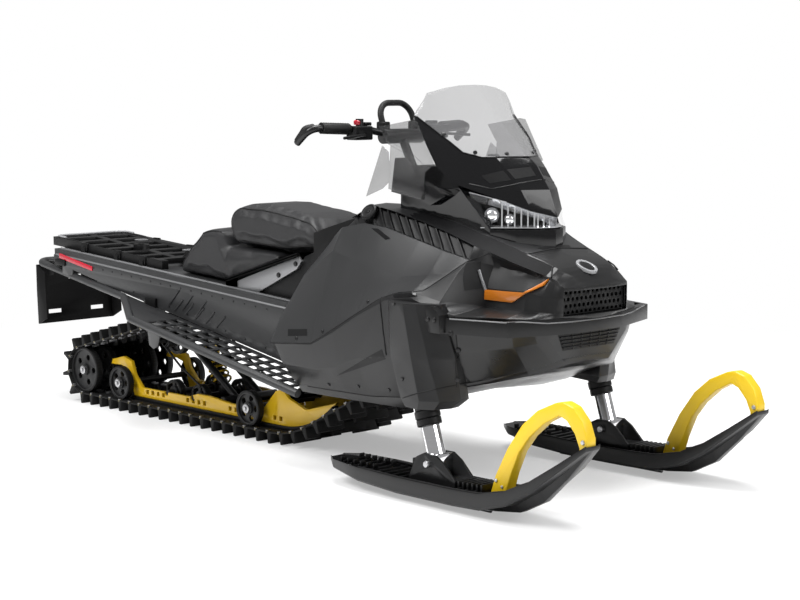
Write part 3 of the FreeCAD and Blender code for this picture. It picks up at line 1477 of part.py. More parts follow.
saddle_shares = [
    (0.5597, 0.0315), (0.5597, 0.0661), (0.5818, 0.1087), (0.6006, 0.1197), (0.6327, 0.1197),
    (0.6541, 0.1039), (0.6855, 0.0661), (0.6855, 0.0315)]
saddle_floor = 24.0
strut_leg_low_share = 0.0961
ski_runner_start_share = 0.478
ski_runner_end_share = 0.7547


def make_blade():
    """Left ski: a tall-sided hollow runner body with a stepped deck, raised rims and an upturned tip."""
    wires = []
    y = half_stance
    for share_x, share_z, wide, keel in ski_place_shares:
        half = ski_width / 2 * wide
        top = up(share_z)
        bottom = top - ski_plate - (ski_side_depth - ski_plate) * keel
        deep = bottom - (top - ski_side_depth - ski_runner_diameter - seat_gap) * keel
        deep = deep if keel < 1 else ski_runner_diameter + seat_gap
        k = ski_keel_width / 2 * wide
        x = fore(share_x)
        ring = [
            (y - half, top + ski_rim * wide), (y - half, bottom + ski_chamfer * wide),
            (y - half + ski_chamfer * wide, bottom), (y - k, bottom - seat_gap),
            (y - k / 2, deep - seat_gap), (y + k / 2, deep - seat_gap), (y + k, bottom - seat_gap),
            (y + half - ski_chamfer * wide, bottom), (y + half, bottom + ski_chamfer * wide),
            (y + half, top + ski_rim * wide), (y + half - ski_rim / 2, top), (y - half + ski_rim / 2, top)]
        wires.append(closed_wire([V(x, a, b) for a, b in ring]))
    return Part.makeLoft(wires, True, True)


def make_loop():
    """Flat handle loop that rises over the ski's tip, cut off along the ski's deck."""
    ring = side_view(loop_outer_shares) + list(reversed(side_view(loop_inner_shares)))
    strip = prism_y(ring, half_stance - loop_width / 2, half_stance + loop_width / 2)
    deck = [(fore(share_x), up(share_z) + seat_gap) for share_x, share_z, wide, keel in ski_place_shares]
    below = prism_y(deck + [(deck[-1][0] + overrun, deck[-1][1]), (deck[-1][0] + overrun, -overrun),
                            (deck[0][0], -overrun)], 0, ski_stance)
    return strip.cut(below)


def make_leg():
    """Strut leg with its fork and the pivot bolt on the ski's saddle."""
    low = strut_point(up(strut_leg_low_share))
    high = strut_point(up(strut_tube_low_share) + strut_entry)
    leg = rod(low, high, strut_rod_diameter)
    foot_half = saddle_width / 2 - saddle_wall - seat_gap
    half = strut_rod_diameter / 2
    corner = V(low.x - half, half_stance - foot_half, low.z - half)
    fork = Part.makeBox(strut_rod_diameter, 2 * foot_half, strut_rod_diameter, corner)
    bolt = rod_y(low.x, low.z, spindle_bolt, half_stance - saddle_width / 2 - saddle_wall,
                 half_stance + saddle_width / 2 + saddle_wall)
    return fuse_all([leg, fork, bolt])


def make_saddle():
    """Two side plates and a floor on the ski's deck that carry the pivot bolt."""
    low = strut_point(up(strut_leg_low_share))
    outline = side_view(saddle_shares)
    plate = prism_y(outline, half_stance + saddle_width / 2 - saddle_wall, half_stance + saddle_width / 2)
    other = prism_y(outline, half_stance - saddle_width / 2, half_stance - saddle_width / 2 + saddle_wall)
    rear = outline[0][0]
    deck_z = up(ski_deck_share) + seat_gap
    base = Part.makeBox(outline[-1][0] - rear, saddle_width, saddle_floor,
                        V(rear, half_stance - saddle_width / 2, deck_z))
    below = Part.makeBox(ski_length, ski_width, deck_z, V(rear - overrun, half_stance - ski_width / 2, 0))
    bore = rod_y(low.x, low.z, spindle_bolt + 2 * seat_gap, 0, ski_stance)
    return fuse_all([plate, other, base]).cut([bore, below])


def make_runner():
    """Wear runner under the keel, with upturned ends."""
    z = ski_runner_diameter / 2
    start = V(fore(ski_runner_start_share), half_stance, z)
    end = V(fore(ski_runner_end_share), half_stance, z)
    return rod(start, end, ski_runner_diameter)


blade = make_blade()
for name, turn in (("ski_left", lambda shape: shape), ("ski_right", mirrored)):
    save(name + "_blade", turn(blade))
    save(name + "_loop", turn(make_loop()))
    save(name + "_leg", turn(make_leg()))
    save(name + "_saddle", turn(make_saddle()))
    save(name + "_runner", turn(make_runner()))


# Handlebar, grips, controls and grab strap

bar_points_share = [(0.2365, 0.8756), (0.2214, 0.8882), (0.2075, 0.8803)]
strap_shares = [
    (0.185, 0.2465, 0.863), (0.185, 0.2214, 0.9504), (-0.185, 0.2214, 0.9504), (-0.185, 0.2465, 0.863)]
strap_bend = 52.0
hook_drop = 40.0
hook_back = 44.0
bar_bend = 40.0
bar_inner_share = 0.35
bar_outer_share = 0.96
bar_lift_share = 0.0047
kill_diameter = 26.0
kill_height = 24.0
control_length = 76.0
control_height = 46.0
control_depth = 52.0
lever_diameter = 10.0


def make_handlebar():
    """Steering post, clamp and the bent bar with hooked ends."""
    x, z = side_view(bar_clamp_share)[0]
    foot = place_y(steer_foot_share, 0)
    clamp = V(x, 0, z)
    post = rod(foot, clamp, post_diameter)
    block = rod_y(x, z, riser_clamp, -riser_reach, riser_reach)
    (ax, az), (bx, bz), (cx, cz) = side_view(bar_points_share)
    half = handlebar_width / 2
    inner = V(ax, half * bar_inner_share, az + up(bar_lift_share))
    outer = V(bx, half * bar_outer_share, bz)
    hook = V(cx - hook_back, half * bar_outer_share, cz - hook_drop)
    left = [V(x, riser_clamp / 2, z), inner, outer, hook]
    right = [V(p.x, -p.y, p.z) for p in reversed(left)]
    bar = tube(right + left, steer_tube, bar_bend)
    return fuse_all([post, block, bar])



grip_start_share = 0.56
control_drop_share = 0.7
lever_short_share = 0.3
control_share = 0.36


def bar_point(y_share):
    """Point on the left half of the bar's straight outer run, and the run's direction."""
    (ax, az), (bx, bz), (cx, cz) = side_view(bar_points_share)
    half = handlebar_width / 2
    inner = V(ax, half * bar_inner_share, az + up(bar_lift_share))
    outer = V(bx, half * bar_outer_share, bz)
    way = outer - inner
    return inner + way * ((y_share - bar_inner_share) / (bar_outer_share - bar_inner_share)), way.normalize()


def make_grip():
    """Left rubber grip sleeve on the bar."""
    start, way = bar_point(grip_start_share)
    sleeve = rod(start, start + way * grip_length, grip_diameter)
    reach = way * (grip_length + overrun)
    return sleeve.cut(rod(start - way * overrun, start + reach, steer_tube + 2 * seat_gap))


def make_controls():
    """Control housings by the grips, the brake and throttle levers and the stop button."""
    start, way = bar_point(control_share)
    reach = way * (grip_length + overrun)
    bar_room = rod(start - way * overrun, start + reach, steer_tube + 2 * seat_gap)
    drop = control_height * control_drop_share
    pieces = []
    for flip in (False, True):
        corner = V(start.x - control_depth / 2, start.y, start.z - drop)
        body = Part.makeBox(control_depth, control_length, control_height, corner)
        body = body.makeFillet(lever_diameter / 2, body.Edges)
        tip = start + way * (control_length + grip_length)
        root = V(start.x + control_depth / 2, start.y + control_length / 2, start.z - control_height / 3)
        end = V(start.x + control_depth, tip.y - grip_length * lever_short_share, start.z - control_height / 2)
        lever = rod(root, end, lever_diameter)
        housing = body.fuse(lever).cut([bar_room, handlebar])
        if flip:
            housing = mirrored(housing)
            top_z = start.z + control_height - drop - seat_gap
            base = V(start.x, -start.y - control_length / 2, top_z)
            button = Part.makeCylinder(kill_diameter / 2, kill_height, base)
            housing = housing.fuse(button.cut(handlebar))
        pieces.append(housing)
    return Part.makeCompound(pieces)


def make_strap():
    """Arched grab strap above the steering clamp."""
    points = []
    for share_y, share_x, share_z in strap_shares:
        points.append(V(fore(share_x), side(share_y), up(share_z)))
    return tube(points, strap_tube, strap_bend).cut(handlebar)


handlebar = make_handlebar()
save("handlebar", handlebar)
save("grips", both_sides(make_grip()))
save("controls", make_controls())
save("grab_strap", make_strap())
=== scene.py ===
"""Looks of a utility snowmobile: finishes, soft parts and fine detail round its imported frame.

X points forward, Y to the left and Z up, in metres, with the origin on the ground under the middle.
Places and sizes in the tables and calls below are in millimetres, apart from the studio's.
"""
import logging
import math
from dataclasses import dataclass, field
from enum import Enum
from typing import Callable, Iterable, Optional, Sequence, Union

import bmesh
import bpy
from mathutils import Matrix, Vector
from mathutils.bvhtree import BVHTree


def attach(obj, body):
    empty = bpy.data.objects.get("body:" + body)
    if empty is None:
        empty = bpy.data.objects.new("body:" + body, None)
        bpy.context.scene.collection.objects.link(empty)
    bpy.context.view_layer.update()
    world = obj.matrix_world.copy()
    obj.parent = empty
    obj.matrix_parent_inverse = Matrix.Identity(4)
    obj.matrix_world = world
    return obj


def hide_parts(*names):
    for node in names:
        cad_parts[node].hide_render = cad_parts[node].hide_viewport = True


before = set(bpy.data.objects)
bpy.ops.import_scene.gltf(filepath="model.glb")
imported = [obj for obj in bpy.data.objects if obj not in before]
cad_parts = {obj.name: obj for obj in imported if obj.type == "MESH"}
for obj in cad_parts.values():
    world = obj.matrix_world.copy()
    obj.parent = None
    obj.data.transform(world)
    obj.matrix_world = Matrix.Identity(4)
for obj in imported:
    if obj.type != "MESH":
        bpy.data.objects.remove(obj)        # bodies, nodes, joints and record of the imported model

LOG = logging.getLogger("snowmobile")
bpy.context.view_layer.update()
MM = 0.001
TURN = 2 * math.pi
WELD = 0.00002           # corners nearer than this, in metres, are one
NEAR = 0.1 * MM          # points of a bar nearer than this are one
DRAPE_STEP = 14.0        # longest edge of a plate that follows a surface
UP = Vector((0, 0, 1))
LEFTWARD = Vector((0, 1, 0))
ROOT = "root"
STEERING = "steering"

Point = tuple[float, float, float]
Colour = tuple[float, float, float]
Pairs = Sequence[tuple[float, float]]
Value = Union[float, "Shade"]
Change = Callable[[bmesh.types.BMesh], None]


class Side(Enum):
    """The two sides of the machine, with the sign of Y."""

    LEFT = 1
    RIGHT = -1

    @property
    def word(self) -> str:
        """Name of the side in node names."""
        return self.name.lower()


# Shader graphs


def _operator(operation: str, reflected: bool = False) -> Callable[["Shade", Value], "Shade"]:
    """Method that adds a Math node.

    Args:
        operation: The node's operation.
        reflected: Whether the other value comes first.

    Returns:
        The method.
    """

    def method(self: "Shade", other: Value) -> "Shade":
        """Result of the node.

        Args:
            other: The other value.

        Returns:
            The result.
        """
        first, second = (other, self) if reflected else (self, other)
        node = self.graph.node("ShaderNodeMath", {"operation": operation}, {0: first, 1: second})
        return Shade(self.graph, node.outputs[0])

    return method


class Shade:
    """One socket of a shader graph, with the arithmetic operators on values."""

    __add__, __radd__ = _operator("ADD"), _operator("ADD", True)
    __sub__, __rsub__ = _operator("SUBTRACT"), _operator("SUBTRACT", True)
    __mul__, __rmul__ = _operator("MULTIPLY"), _operator("MULTIPLY", True)
    at_least = _operator("MAXIMUM")
    power = _operator("POWER")

    def __init__(self, graph: "Graph", socket: bpy.types.NodeSocket) -> None:
        """Wrap an output socket of a graph.

        Args:
            graph: The graph that holds the socket.
            socket: The output socket.
        """
        self.graph = graph
        self.socket = socket

    def ramp(self, low: float, high: float) -> "Shade":
        """0 below low, 1 above high, and smooth between them.

        Args:
            low: Value that gives 0.
            high: Value that gives 1.

        Returns:
            The ramp.
        """
        settings = {"interpolation_type": "SMOOTHSTEP"}
        node = self.graph.node("ShaderNodeMapRange", settings, {"Value": self, "From Min": low, "From Max": high})
        return Shade(self.graph, node.outputs["Result"])


class Graph:
    """Node graph of one material or world."""

    def __init__(self, owner: bpy.types.ID, output: str = "ShaderNodeOutputMaterial") -> None:
        """Empty the owner's graph and add its output.

        Args:
            owner: The material or world that gets the graph.
            output: Type of the output node.
        """
        owner.use_nodes = True
        self.tree = owner.node_tree
        self.tree.nodes.clear()
        self.output = self.tree.nodes.new(output)
        self._place: Optional[Shade] = None

    def node(self, kind: str, settings: dict, sockets: dict) -> bpy.types.Node:
        """Add one node.

        Args:
            kind: Type of the node.
            settings: The node's own settings.
            sockets: Values or Shades by input name or number.

        Returns:
            The node.
        """
        node = self.tree.nodes.new(kind)
        for name, value in settings.items():
            setattr(node, name, value)
        for name, value in sockets.items():
            if isinstance(value, Shade):
                self.tree.links.new(value.socket, node.inputs[name])
            else:
                node.inputs[name].default_value = value
        return node

    def surface(self, node: bpy.types.Node) -> None:
        """Link a shader to the output."""
        self.tree.links.new(node.outputs[0], self.output.inputs["Surface"])

    def out(self, node: bpy.types.Node, name: Union[str, int] = 0) -> Shade:
        """One output of a node as a Shade."""
        return Shade(self, node.outputs[name])

    def place(self) -> Shade:
        """Object coordinates.

        Returns:
            The coordinates.
        """
        if self._place is None:
            self._place = self.out(self.node("ShaderNodeTexCoord", {}, {}), "Object")
        return self._place

    def axis(self, name: str) -> Shade:
        """One of the X, Y and Z object coordinates."""
        return self.out(self.node("ShaderNodeSeparateXYZ", {}, {0: self.place()}), name)

    def stretched(self, scale: Point) -> Shade:
        """Object coordinates scaled on each axis."""
        return self.out(self.node("ShaderNodeMapping", {}, {"Vector": self.place(), "Scale": scale}), "Vector")

    def noise(self, scale: float, detail: float, vector: Optional[Shade] = None) -> Shade:
        """Noise value from 0 to 1."""
        sockets = {"Vector": vector or self.place(), "Scale": scale, "Detail": detail}
        return self.out(self.node("ShaderNodeTexNoise", {}, sockets), "Fac")

    def cells(self, scale: float, feature: str = "F1") -> Shade:
        """Distance in a cell pattern."""
        sockets = {"Vector": self.place(), "Scale": scale}
        return self.out(self.node("ShaderNodeTexVoronoi", {"feature": feature}, sockets), "Distance")

    def blend(self, factor: Value, first: Union[Colour, Shade], second: Union[Colour, Shade]) -> Shade:
        """Colour between two colours."""
        low, high = ((*c, 1.0) if isinstance(c, tuple) else c for c in (first, second))
        return self.out(self.node("ShaderNodeMix", {"data_type": "RGBA"}, {0: factor, 6: low, 7: high}), 2)

    def bump(self, height: Shade, depth: float, strength: float) -> Shade:
        """Normal bumped by a height value; depth is in metres."""
        sockets = {"Height": height, "Distance": depth, "Strength": strength}
        return self.out(self.node("ShaderNodeBump", {}, sockets), "Normal")

    def seen(self) -> Shade:
        """1 for rays from the camera, also through glass."""
        path = self.node("ShaderNodeLightPath", {}, {})
        return self.out(path, "Is Camera Ray").at_least(self.out(path, "Is Transmission Ray"))


# Finishes


@dataclass(frozen=True)
class Finish:
    """A surface finish, made once and shared by the pieces that wear it."""

    name: str
    slot: str
    colour: Colour
    roughness: float = 0.5
    metallic: float = 0.0
    coat: float = 0.0
    specular: float = 0.5

    def material(self) -> bpy.types.Material:
        """The material, built at its first use.

        Returns:
            The material.
        """
        found = bpy.data.materials.get("finish_" + self.name)
        if found is None:
            found = bpy.data.materials.new("finish_" + self.name)
            found.diffuse_color = (*self.colour, 1.0)
            self.build(Graph(found))
        return found

    def tint(self, share: float) -> Colour:
        """The colour made lighter or darker by a share."""
        return tuple(min(channel * share, 1.0) for channel in self.colour)

    def apply(self, graph: Graph, colour: Shade, rough: Shade, extra: Optional[dict] = None) -> None:
        """Add the Principled shader.

        Args:
            graph: The graph.
            colour: The surface's colour.
            rough: Its roughness.
            extra: More sockets by name.
        """
        sockets = {"Metallic": self.metallic, "Coat Weight": self.coat, "Specular IOR Level": self.specular,
                   "Base Color": colour, "Roughness": rough, **(extra or {})}
        graph.surface(graph.node("ShaderNodeBsdfPrincipled", {}, sockets))

    def build(self, graph: Graph) -> None:
        """Fill the graph: faint mottling and a little variation in gloss.

        Args:
            graph: The graph.
        """
        mottle = graph.noise(9.0, 4.0)
        self.apply(graph, graph.blend(mottle, self.tint(0.9), self.tint(1.1)), self.roughness + (mottle - 0.5) * 0.1)


@dataclass(frozen=True)
class Moulded(Finish):
    """Moulded plastic with a fine pebble grain and light handling marks."""

    grain: float = 900.0
    depth: float = 0.00006

    def build(self, graph: Graph) -> None:
        """Fill the graph.

        Args:
            graph: The graph.
        """
        mottle = graph.noise(5.0, 5.0)
        rub = graph.noise(26.0, 6.0, graph.stretched((1.0, 1.0, 0.35))).ramp(0.62, 0.8)
        colour = graph.blend(rub * 0.12, graph.blend(mottle, self.tint(0.88), self.tint(1.12)), self.tint(1.8))
        rough = self.roughness + (mottle - 0.5) * 0.12 + rub * 0.06
        self.apply(graph, colour, rough, {"Normal": graph.bump(graph.cells(self.grain), self.depth, 0.5)})


@dataclass(frozen=True)
class Painted(Finish):
    """Sprayed paint with a trace of orange peel, scuffs and dulled patches."""

    peel: float = 260.0
    depth: float = 0.00004
    scuff: float = 0.1

    def build(self, graph: Graph) -> None:
        """Fill the graph.

        Args:
            graph: The graph.
        """
        mottle = graph.noise(4.0, 3.0)
        scratches = graph.noise(60.0, 8.0, graph.stretched((0.25, 1.0, 1.0))).ramp(0.6, 0.75)
        colour = graph.blend(mottle, self.tint(0.92), self.tint(1.08))
        colour = graph.blend(scratches * self.scuff, colour, self.tint(1.7))
        rough = self.roughness + (mottle - 0.5) * 0.08 + scratches * 0.08
        self.apply(graph, colour, rough, {"Normal": graph.bump(graph.noise(self.peel, 2.0), self.depth, 0.6)})


@dataclass(frozen=True)
class Rubber(Finish):
    """Moulded rubber, dusted in patches."""

    grain: float = 420.0
    depth: float = 0.00025

    def build(self, graph: Graph) -> None:
        """Fill the graph.

        Args:
            graph: The graph.
        """
        dust = graph.noise(14.0, 6.0).ramp(0.45, 0.75)
        colour = graph.blend(dust * 0.3, self.tint(0.85), self.tint(2.2))
        normal = graph.bump(graph.noise(self.grain, 4.0), self.depth, 0.5)
        self.apply(graph, colour, self.roughness + dust * 0.1, {"Normal": normal})


@dataclass(frozen=True)
class Polished(Finish):
    """Polished or plated metal with faint rub marks."""

    def build(self, graph: Graph) -> None:
        """Fill the graph.

        Args:
            graph: The graph.
        """
        marks = graph.noise(40.0, 6.0, graph.stretched((1.0, 1.0, 6.0)))
        colour = graph.blend(marks, self.tint(0.95), self.tint(1.05))
        self.apply(graph, colour, self.roughness + (marks - 0.5) * 0.05)


@dataclass(frozen=True)
class Vinyl(Finish):
    """Seat cover vinyl with a leather grain."""

    grain: float = 330.0
    depth: float = 0.00035

    def build(self, graph: Graph) -> None:
        """Fill the graph.

        Args:
            graph: The graph.
        """
        grain = graph.cells(self.grain, "DISTANCE_TO_EDGE") + graph.noise(60.0, 4.0) * 0.12
        mottle = graph.noise(7.0, 5.0)
        colour = graph.blend(mottle, self.tint(0.85), self.tint(1.15))
        normal = graph.bump(grain.ramp(0.0, 0.25), self.depth, 0.5)
        self.apply(graph, colour, self.roughness + (mottle - 0.5) * 0.12, {"Normal": normal})


@dataclass(frozen=True)
class Clear(Finish):
    """Clear or tinted sheet that lets the ground behind show through."""

    alpha: float = 0.3

    def build(self, graph: Graph) -> None:
        """Fill the graph.

        Args:
            graph: The graph.
        """
        haze = graph.noise(6.0, 3.0)
        colour = graph.blend(haze, self.tint(0.97), self.tint(1.03))
        self.apply(graph, colour, self.roughness + haze * 0.04, {"Alpha": self.alpha})


CHARCOAL = Moulded("charcoal_moulding", "charcoal", (0.019, 0.0193, 0.020), 0.36, specular=0.42)
BLACK = Moulded("black_moulding", "black_plastic", (0.004, 0.004, 0.0043), 0.45, specular=0.22)
GLOSS = Finish("gloss_black", "gloss_black", (0.004, 0.004, 0.0045), 0.14, 0.0, 0.15, 0.3)
TUNNEL_PAINT = Painted("tunnel_paint", "tunnel_paint", (0.026, 0.0265, 0.0275), 0.34)
TUBE_GREY = Painted("tube_grey", "tube_grey", (0.026, 0.0265, 0.0275), 0.42, specular=0.35)
RAIL_YELLOW = Painted("rail_yellow", "rail_yellow", (0.58, 0.36, 0.006), 0.34, 0.0, 0.2)
TRACK_RUBBER = Rubber("track_rubber", "track_rubber", (0.006, 0.006, 0.006), 0.6, specular=0.25)
WHEEL_PLASTIC = Moulded("wheel_plastic", "wheel_plastic", (0.008, 0.008, 0.0085), 0.42, specular=0.35)
STEEL_DARK = Painted("steel_dark", "steel_dark", (0.006, 0.006, 0.0065), 0.32, specular=0.35)
CHROME = Polished("chrome_plate", "chrome", (0.82, 0.82, 0.84), 0.07, 1.0)
SEAT_VINYL = Vinyl("seat_vinyl", "seat_vinyl", (0.015, 0.015, 0.016), 0.42, specular=0.4)
BRACE_SILVER = Polished("brace_silver", "brace_silver", (0.22, 0.222, 0.228), 0.36, 0.7)
SCREEN = Clear("screen_smoke", "screen", (0.19, 0.19, 0.195), 0.05, 0.0, 0.2, 0.5, alpha=0.32)
DEFLECTOR = Clear("deflector_smoke", "screen", (0.04, 0.04, 0.041), 0.06, 0.0, 0.2, 0.5, alpha=0.36)
LENS_CLEAR = Clear("lens_clear", "lens_clear", (0.02, 0.02, 0.021), 0.03, 0.0, 0.3, 0.5, alpha=0.06)
LENS_AMBER = Finish("lens_amber", "lens_amber", (0.42, 0.125, 0.008), 0.25, 0.0, 0.3)
LENS_RED = Finish("lens_red", "lens_red", (0.42, 0.010, 0.026), 0.2, 0.0, 0.3)
SKI_PLASTIC = Moulded("ski_plastic", "ski_plastic", (0.006, 0.006, 0.0064), 0.36, specular=0.35)
LOOP_YELLOW = Moulded("loop_yellow", "loop_yellow", (0.72, 0.48, 0.008), 0.38)
GRIP_RUBBER = Rubber("grip_rubber", "grip_rubber", (0.004, 0.004, 0.004), 0.55, specular=0.3)
CARBIDE = Polished("runner_steel", "carbide_steel", (0.3, 0.3, 0.31), 0.35, 1.0)
BUMPER = Moulded("bumper_moulding", "steel_dark", (0.006, 0.006, 0.0063), 0.3, specular=0.28)
BOARD_GREY = Painted("board_paint", "tunnel_paint", (0.014, 0.0143, 0.015), 0.36)
FLAP = Moulded("flap_moulding", "black_plastic", (0.004, 0.004, 0.0042), 0.5, specular=0.12)
# light grey that stands for painted highlights on dark parts: the tunnel's folds, the bumper's upper edge and the
# rack's anchor rings
PAINTED_HIGHLIGHT_GREY = Painted("edge_paint", "tube_grey", (0.13, 0.131, 0.135), 0.32)
EDGE_METAL = Polished("zinc_steel", "carbide_steel", (0.45, 0.45, 0.46), 0.35, 1.0)
ROD_ENDS = Finish("rod_ends", "loop_yellow", (0.16, 0.14, 0.08), 0.5)
WELT = Vinyl("seat_welt", "seat_vinyl", (0.003, 0.003, 0.0032), 0.5, specular=0.25)
MIRROR = Polished("lamp_mirror", "chrome", (0.9, 0.91, 0.93), 0.12, 0.9)
NOSE = Moulded("nose_moulding", "charcoal", (0.007, 0.007, 0.0073), 0.3, specular=0.4)
# light grey for the nose disc's trim ring, and as a painted highlight along the top of the rack's frame
TRIM_AND_HIGHLIGHT = Painted("trim_edge", "brace_silver", (0.26, 0.262, 0.27), 0.3)
BAND = Moulded("band_moulding", "gloss_black", (0.005, 0.005, 0.0055), 0.6, specular=0.1)
LOWER = Moulded("lower_moulding", "charcoal", (0.010, 0.010, 0.0105), 0.38, specular=0.34)


# Mesh helpers


def mm(x: float, y: float, z: float) -> Vector:
    """Point from millimetres."""
    return Vector((x, y, z)) * MM


def new_object(name: str, mesh: bpy.types.Mesh) -> bpy.types.Object:
    """Link a mesh as a new object at the origin.

    Args:
        name: Name of the object.
        mesh: Its mesh.

    Returns:
        The object.
    """
    piece = bpy.data.objects.new(name, mesh)
    bpy.context.scene.collection.objects.link(piece)
    return piece


def edit(piece: bpy.types.Object, change: Change) -> None:
    """Run one bmesh change on a piece's mesh.

    Args:
        piece: The piece.
        change: What to do with its mesh.
    """
    work = bmesh.new()
    work.from_mesh(piece.data)
    change(work)
    work.to_mesh(piece.data)
    work.free()
    piece.data.update()


def mesh_from(name: str, vertices: Sequence, faces: Sequence[Sequence[int]]) -> bpy.types.Object:
    """Object from plain vertex and face lists.

    Args:
        name: Name of the object.
        vertices: Corner points in metres.
        faces: Corner numbers of each face.

    Returns:
        The object, with its normals pointing outwards.
    """
    mesh = bpy.data.meshes.new(name)
    mesh.from_pydata([tuple(v) for v in vertices], [], [tuple(f) for f in faces])
    piece = new_object(name, mesh)

    def change(work: bmesh.types.BMesh) -> None:
        """Merge doubled corners, then turn the faces outwards."""
        bmesh.ops.remove_doubles(work, verts=work.verts, dist=WELD)
        bmesh.ops.recalc_face_normals(work, faces=work.faces)

    edit(piece, change)
    return piece


def smooth(piece: bpy.types.Object, angle: float) -> None:
    """Smooth shading, with edges sharper than an angle in degrees kept crisp.

    Args:
        piece: The piece.
        angle: The angle in degrees.
    """

    def change(work: bmesh.types.BMesh) -> None:
        """Mark each edge and face.

        Args:
            work: The mesh.
        """
        limit = math.radians(angle)
        for face in work.faces:
            face.smooth = True
        for edge in work.edges:
            edge.smooth = edge.is_manifold and edge.calc_face_angle(0.0) < limit

    edit(piece, change)


def apply_modifiers(piece: bpy.types.Object) -> None:
    """Turn a piece's modifiers into plain mesh, with no modifier left.

    Args:
        piece: The piece.
    """
    bpy.context.view_layer.update()
    shown = piece.evaluated_get(bpy.context.evaluated_depsgraph_get())
    mesh = bpy.data.meshes.new_from_object(shown)
    piece.modifiers.clear()
    piece.data = mesh


def bevel(piece: bpy.types.Object, width: float, segments: int = 2, angle: float = 28.0) -> None:
    """Round a piece's edges.

    Args:
        piece: The piece.
        width: Width of the rounding.
        segments: Facets across the rounding.
        angle: Angle in degrees above which an edge is rounded.
    """
    modifier = piece.modifiers.new("round", "BEVEL")
    modifier.width = width * MM
    modifier.segments = segments
    modifier.limit_method = "ANGLE"
    modifier.angle_limit = math.radians(angle)
    modifier.harden_normals = False
    modifier.use_clamp_overlap = True
    apply_modifiers(piece)
    smooth(piece, 40.0)


def cad_copy(node: str, name: Optional[str] = None) -> bpy.types.Object:
    """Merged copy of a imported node, with flat areas joined into single faces.

    Args:
        node: Name of the node.
        name: Name of the copy; the node's own with a suffix where none is given.

    Returns:
        The copy.
    """
    piece = new_object(name or node + "_skin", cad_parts[node].data.copy())
    piece.data.materials.clear()

    def change(work: bmesh.types.BMesh) -> None:
        """Merge the triangles.

        Args:
            work: The mesh.
        """
        bmesh.ops.remove_doubles(work, verts=work.verts, dist=WELD)
        bmesh.ops.dissolve_limit(
            work, angle_limit=math.radians(0.4), verts=work.verts, edges=work.edges, delimit={"NORMAL"})

    edit(piece, change)
    return piece


def dress(piece: bpy.types.Object, finish: Finish, body: str = ROOT) -> bpy.types.Object:
    """Give a piece its finish and its body.

    Args:
        piece: The piece.
        finish: The finish it wears.
        body: The body it rides.

    Returns:
        The piece.
    """
    if not piece.data.materials:
        piece.data.materials.append(finish.material())
    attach(piece, body)
    LOG.info("%s: %d faces, %s", piece.name, len(piece.data.polygons), finish.name)
    return piece


def paint_node(node: str, finish: Finish) -> None:
    """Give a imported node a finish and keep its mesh.

    Args:
        node: Name of the node.
        finish: The finish it wears.
    """
    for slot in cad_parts[node].material_slots:
        slot.link = "OBJECT"
        slot.material = finish.material()


def rounded_node(node: str, finish: Finish, width: float, body: str = ROOT, segments: int = 2,
                 angle: float = 28.0, reshape: Optional[Callable[[bpy.types.Object], None]] = None) -> None:
    """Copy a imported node, round its edges and let the copy stand for it.

    Args:
        node: Name of the node.
        finish: The finish the copy wears.
        width: Width of the rounding.
        body: The body the copy rides.
        segments: Facets across the rounding.
        angle: Angle in degrees above which an edge is rounded.
        reshape: Change to the copy before its edges are rounded.
    """
    piece = cad_copy(node)
    if reshape:
        reshape(piece)
    bevel(piece, width, segments, angle)
    dress(piece, finish, body)
    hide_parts(node)


def cut_out(node: str, name: str, pick: Callable[[Vector, Vector], bool], lift: float) -> bpy.types.Object:
    """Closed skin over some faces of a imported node.

    Args:
        node: Name of the node.
        name: Name of the piece.
        pick: Whether a face is wanted, from its middle and its normal.
        lift: Height of the skin over the faces, a third of its thickness.

    Returns:
        The skin, with no finish yet.
    """
    piece = cad_copy(node, name)
    lift *= MM

    def change(work: bmesh.types.BMesh) -> None:
        """Keep the wanted faces, and give them thickness.

        Args:
            work: The mesh.
        """
        bmesh.ops.triangulate(work, faces=work.faces[:])
        spare = [face for face in work.faces if not pick(face.calc_center_median() / MM, face.normal)]
        bmesh.ops.delete(work, geom=spare, context="FACES")
        for vertex in work.verts:
            vertex.co += vertex.normal * lift
        bmesh.ops.solidify(work, geom=work.faces[:], thickness=3.0 * lift)
        bmesh.ops.recalc_face_normals(work, faces=work.faces)

    edit(piece, change)
    return piece


# Forms, and repeats of them


def aligned(way: Vector, twist: float = 0.0) -> Matrix:
    """Turn that takes Z to a direction, after a twist about Z in degrees."""
    return way.to_track_quat("Z", "Y").to_matrix() @ Matrix.Rotation(math.radians(twist), 3, "Z")


